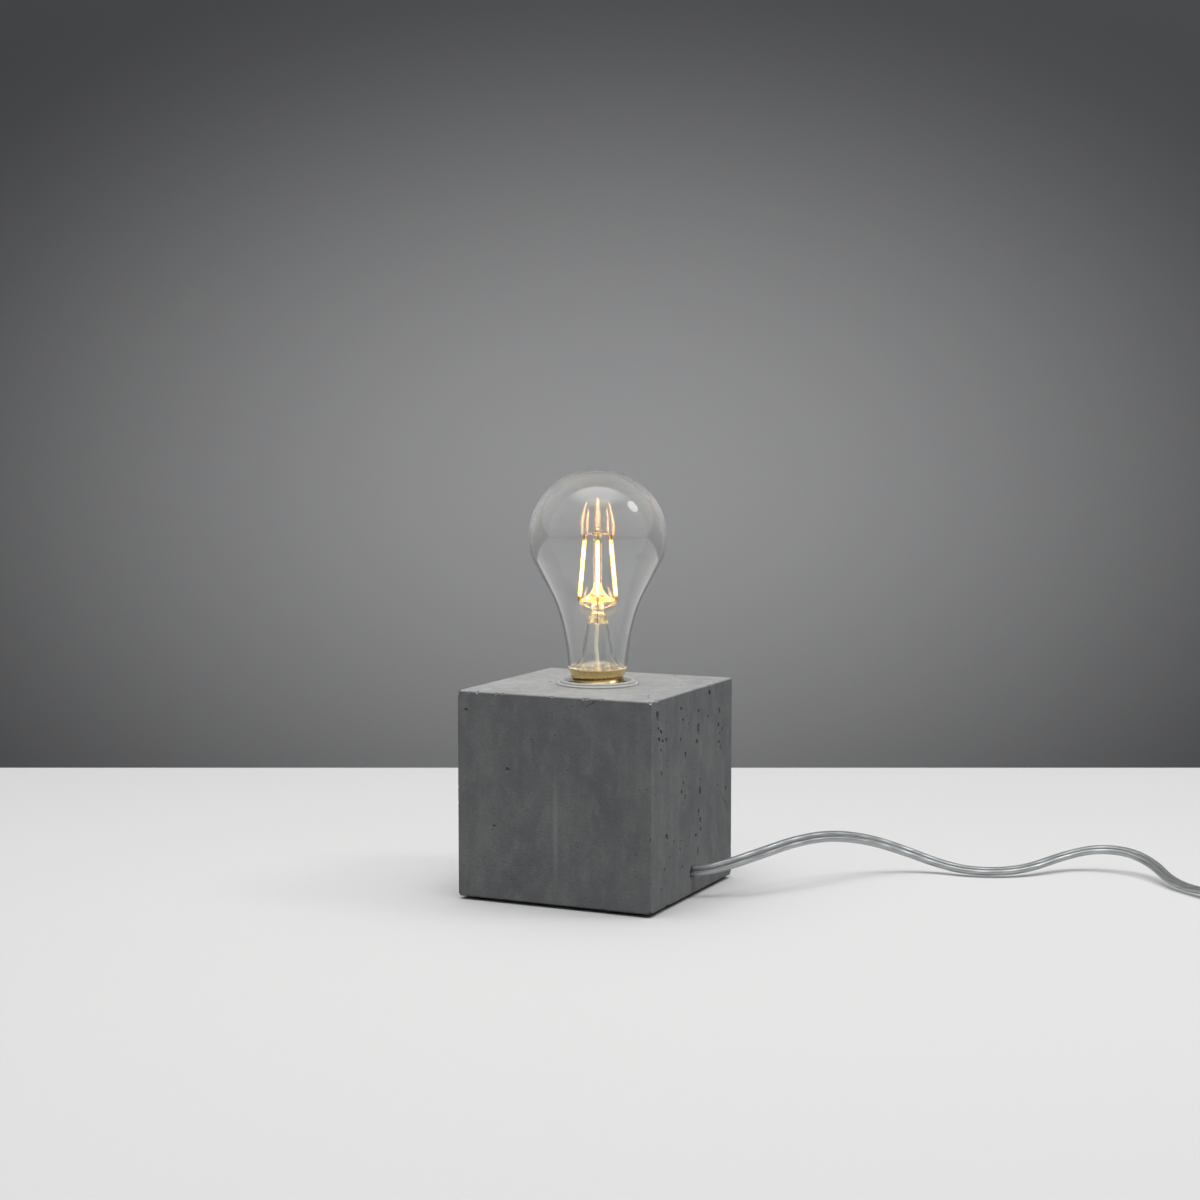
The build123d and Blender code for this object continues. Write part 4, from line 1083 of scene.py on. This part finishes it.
# How the flat cord is turned about its line: marks of (share of its length, degrees)
free_rolls = [(0.0, 78.0), (0.33, 72.0), (0.5, 18.0), (0.62, 12.0), (0.74, 30.0), (0.9, 0.0), (1.0, 0.0)]
inner_rolls = [(0.0, 0.0), (0.5, 0.0), (1.0, 78.0)]
coil_rolls = [(0.0, 0.0), (0.012, 0.0), (0.06, 66.0), (0.95, 66.0), (0.99, 0.0), (1.0, 0.0)]


def coil_at(turns):
    """The coil's line: it winds in, climbs a layer where it turns back, and winds out on top."""
    radius = coil_inner_radius + coil_step * math.hypot(turns, coil_reverse)
    angle = coil_start_angle + 360.0 * (turns + coil_turns / 2)
    level = coil_lift + cord_width / 2 + coil_step * smooth_step(2 * turns + 0.5)
    return at_angle(radius, angle, level) + Vector((*coil_centre, 0))


def coil_direction(turns):
    step = 0.001
    return (coil_at(turns + step) - coil_at(turns - step)).normalized()


def coiled_route():
    """From the switch to the coil, round its turns and on to the plug."""
    half = coil_turns / 2
    first, last = coil_direction(-half), coil_direction(half)
    start, end = coil_at(-half) - first * cord_width, coil_at(half) + last * cord_width
    way = Vector((last.x, last.y, 0)).normalized()
    plug = end + way * plug_run
    plug.z = plug_level
    count = round(coil_turns * coil_points_per_turn)
    route = [switch_end(switch_length), switch_end(switch_length + switch_lead_in)]
    route += [start - first * coil_lead_in, start]
    route += [coil_at(coil_turns * i / count - half) for i in range(count + 1)]
    return route + [end, end + last * plug_lead, plug - way * plug_lead, plug]


def spline_points(route, fineness):
    """Points of the smooth line that a route's points control, in millimetres."""
    curve = bpy.data.curves.new("route", "CURVE")
    curve.dimensions = "3D"
    curve.resolution_u = fineness
    spline = curve.splines.new("NURBS")
    spline.points.add(len(route) - 1)
    for point, place in zip(spline.points, route):
        point.co = (*(Vector(place) * MM), 1.0)
    spline.order_u = 3
    spline.use_endpoint_u = True
    line = bpy.data.objects.new("route", curve)
    mesh = bpy.data.meshes.new_from_object(line)
    points = [vert.co / MM for vert in mesh.vertices]
    bpy.data.objects.remove(line)
    return points


def lengths_along(path):
    """How far along a path each of its points lies."""
    lengths = [0.0]
    for a, b in zip(path, path[1:]):
        lengths.append(lengths[-1] + (b - a).length)
    return lengths


def rolls_along(path, marks):
    """How far the flat cord is turned about its line at each point."""
    lengths = lengths_along(path)
    rolls = []
    for gone in lengths:
        share = gone / lengths[-1]
        for (a, roll_a), (b, roll_b) in zip(marks, marks[1:]):
            if share <= b:
                break
        rolls.append(roll_a + (roll_b - roll_a) * smooth_step((share - a) / (b - a)))
    return rolls


def flat_section():
    """The cord's section: two round lobes side by side with a groove between them."""
    count = 12
    section = []
    for side, first in ((1, -135.0), (-1, 45.0)):
        for i in range(count):
            turn = math.radians(first + 270.0 * i / (count - 1))
            across = side * lobe_offset + lobe_radius * math.cos(turn)
            section.append((across, lobe_radius * math.sin(turn)))
    return section


def strand_section(turn):
    """A conductor's section: a bundle of strands, turned by the lay of the bundle."""
    count = 3 * strand_count
    section = []
    for i in range(count):
        angle = math.tau * i / count
        radius = core_radius * (1.0 + strand_relief * math.cos(strand_count * (angle - turn)))
        section.append((radius * math.cos(angle), radius * math.sin(angle)))
    return section


def flat_cord(name, path, roll_marks, *replaced):
    """The clear sheath and the two stranded conductors inside it."""
    sides = level_sides(path, rolls_along(path, roll_marks))
    sheath_shape = swept(path, sides, [flat_section()] * len(path))
    sheath = add_piece(name, sheath_shape, pvc, "lamp", "cord_pvc", *replaced)
    shapes = []
    for offset in (-lobe_offset, lobe_offset):
        line = [place + side * offset for place, side in zip(path, sides)]
        sections = [strand_section(gone / strand_lay) for gone in lengths_along(line)]
        shapes.append(swept(line, sides, sections))
    strands = add_piece(f"{name}_strands", join_shapes(shapes), tinned_copper, "lamp", "cord_pvc")
    return sheath, strands


def make_coil_tie():
    """A woven strap round the coil's turns, closed on itself with a short free end on top."""
    clear = cord_width / 2 + tie_gap + tie_thickness / 2
    inner_edge = coil_inner_radius - clear
    outer_edge = coil_inner_radius + coil_step * coil_turns / 2 + clear
    bottom = coil_lift - tie_gap / 2 - tie_thickness / 2
    top = coil_lift + coil_step + cord_width / 2 + clear
    way = at_angle(1.0, tie_angle, 0.0)
    along = at_angle(1.0, tie_angle + 90.0, 0.0)
    middle = Vector((*coil_centre, 0))
    near, far = inner_edge + tie_corner, outer_edge - tie_corner
    floor, roof = bottom + tie_corner, top - tie_corner
    second_layer = top + tie_thickness + tie_lap_gap
    corner_steps = 6
    line = [(far - tie_overlap, top)]
    for edge, level, first in ((near, roof, 90), (near, floor, 180), (far, floor, 270), (far, roof, 0)):
        for i in range(corner_steps + 1):
            turn = math.radians(first + 90 * i / corner_steps)
            line.append((edge + tie_corner * math.cos(turn), level + tie_corner * math.sin(turn)))
    line += [(far - tie_ramp, top + tie_ramp_rise), (far - tie_overlap, second_layer),
             (near + tie_overlap, second_layer), (near + tie_ramp, top + tie_thickness + tie_tail_lift)]
    path = [middle + way * r + Vector((0, 0, z)) for r, z in line]
    half, thick = tie_width / 2, tie_thickness / 2
    flat = half - tie_edge
    section = [(-half, -0.5 * thick), (-flat, -thick), (flat, -thick), (half, -0.5 * thick),
               (half, 0.5 * thick), (flat, thick), (-flat, thick), (-half, 0.5 * thick)]
    shape = swept(path, [along] * len(path), [section] * len(path))
    return add_piece("coil_strap", shape, strap, "lamp", "tie_fabric", "coil_tie")


def make_cords():
    """The cord from inside the cube to the switch, and on from there through the coil to the plug."""
    free_path = spline_points(free_route, free_fineness)
    free, free_strands = flat_cord("free_cord", free_path, free_rolls, "cord_free")
    inner_run = range(cord_sheath_end, cord_inner_joint + 1, cord_inner_spacing)
    inner_path = [Vector((x, 0, cord_hole_level)) for x in inner_run]
    inner, inner_strands = flat_cord("inner_cord", inner_path, inner_rolls, "cord_inner")
    coil_path = spline_points(coiled_route(), coil_fineness)
    coil, coil_strands = flat_cord("coiled_cord", coil_path, coil_rolls,
                                   "cord_link", "cord_coil", "cord_tail")
    tie = make_coil_tie()


make_cords()


# Studio, in metres and watts
stage_reach = 12.0
wall_distance = 0.358
wall_height = 3.0
# A pool of light painted on the wall behind the lamp: its level, place and size
painted_wall_light_level = 0.16
away = Vector((-math.sin(math.radians(camera_azimuth)), math.cos(math.radians(camera_azimuth)), 0))
painted_wall_light_place = away * wall_distance + Vector((0, 0, painted_wall_light_level))
painted_wall_light_size = (0.62, 0.62, 0.37)
light_aim = Vector((0.0, 0.0, 0.1))

# Round soft lights: name, place, size, power, and whether polished pieces mirror it
soft_lights = [
    ("overhead", (0.0, -0.15, 1.1), 0.6, 3.2, False),
    ("front_left", (-0.75, -1.35, 0.8), 0.9, 1.1, False),
    ("right", (0.75, 0.26, 0.88), 0.3, 1.7, True),
]


def turn_to(holder, way):
    """Points a lamp or a camera along a direction."""
    holder.rotation_euler = way.to_track_quat("-Z", "Y").to_euler()


def add_light(name, place, size, power, mirrored):
    light = bpy.data.lights.new(name, "AREA")
    light.shape = "DISK"
    light.size = size
    light.energy = power
    lamp = link_object(name, light)
    lamp.location = place
    turn_to(lamp, light_aim - Vector(place))
    lamp.visible_glossy = mirrored
    lamp.visible_transmission = False


def stage_sheet(name, corners, material):
    mesh = bpy.data.meshes.new(name)
    mesh.from_pydata(corners, [], [(0, 1, 2, 3)])
    mesh.materials.append(material)
    sheet = link_object(name, mesh)
    return sheet


def seen_share(add):
    """1 for a ray from the camera, a mirror or clear glass, 0 for one that lights a matt surface."""
    ray = add("LightPath")
    mirrored = add("Math", {
        0: ray.outputs["Is Camera Ray"], 1: ray.outputs["Is Glossy Ray"]}, operation="MAXIMUM")
    return add("Math", {0: mirrored, 1: ray.outputs["Is Transmission Ray"]}, operation="MAXIMUM")


def table_with_painted_shade(add, _):
    """Plain pale matt table top, which throws only some of its light back up at the cube's sides as painted
    shade.
    """
    # Painted shade: light bouncing off the table takes a dark colour, which darkens the cube's sides.
    tint = add("Mix", {0: seen_share(add), 6: "#404040", 7: "#dcdcdc"}, data_type="RGBA")
    return add("BsdfPrincipled", {"Base Color": tint, "Roughness": 0.7})


def wall_with_painted_light(add, place):
    """Grey wall with a painted pool of light behind the lamp, that shows from the front alone."""
    # Painted light: the wall is paler in a round patch behind the lamp.
    round_painted_light = add("Mapping", {
        "Vector": place, "Location": painted_wall_light_place, "Scale": painted_wall_light_size}, vector_type="TEXTURE")
    glow = add("TexGradient", {"Vector": round_painted_light}, gradient_type="SPHERICAL").outputs["Fac"]
    share = add("MapRange", {"Value": glow}, interpolation_type="SMOOTHSTEP")
    tint = add("Mix", {0: share, 6: "#5c5d5f", 7: "#dedfe1"}, data_type="RGBA")
    paint = add("BsdfPrincipled", {"Base Color": tint, "Roughness": 0.9})
    behind = add("NewGeometry").outputs["Backfacing"]
    return add("MixShader", {0: behind, 1: paint, 2: add("BsdfTransparent")})


def studio_sky():
    """Soft light from all round, with a wide glow overhead that polished pieces mirror softly."""
    world = bpy.data.worlds.new("studio")
    add = start_nodes(world)
    way = add("TexCoord").outputs["Generated"]
    height = add("SeparateXYZ", {0: way}).outputs["Z"]
    climb = add("MapRange", {
        "Value": height, "From Min": 0.1, "From Max": 0.95}, interpolation_type="SMOOTHSTEP")
    horizon = add("Mix", {0: seen_share(add), 6: "#48484a", 7: "#f0f0f2"}, data_type="RGBA")
    tint = add("Mix", {0: climb, 6: horizon, 7: "#ffffff"}, data_type="RGBA")
    strength = add("MapRange", {
        "Value": height, "From Min": 0.76, "From Max": 1.0, "To Min": 0.4, "To Max": 2.7},
        interpolation_type="SMOOTHSTEP")
    sky = add("Background", {"Color": tint, "Strength": strength})
    add("OutputWorld", {"Surface": sky})
    return world


def make_stage():
    right = Vector((away.y, -away.x, 0)) * stage_reach
    foot = away * wall_distance
    up = Vector((0, 0, wall_height))
    reach = stage_reach
    table = [(-reach, -reach, 0), (reach, -reach, 0), (reach, reach, 0), (-reach, reach, 0)]
    stage_sheet("table_top", table, finish("pale_matt_table_with_painted_shade", table_with_painted_shade))
    wall = stage_sheet("wall", [foot - right, foot + right, foot + right + up, foot - right + up],
                       finish("grey_wall_with_painted_light", wall_with_painted_light))
    wall.visible_diffuse = False
    wall.visible_shadow = False
    for light in soft_lights:
        add_light(*light)
    scene.world = studio_sky()


def make_camera():
    turn, rise = math.radians(camera_azimuth), math.radians(camera_elevation)
    back = Vector((math.sin(turn) * math.cos(rise), -math.cos(turn) * math.cos(rise), math.sin(rise)))
    camera = bpy.data.cameras.new("camera")
    camera.lens = camera_lens
    camera.sensor_width = camera_sensor
    camera.clip_start = camera_near * MM
    holder = link_object("camera", camera)
    holder.location = (Vector(camera_target) + back * camera_distance) * MM
    turn_to(holder, -back)
    scene.camera = holder


make_stage()
make_camera()
scene.view_settings.view_transform = "Standard"
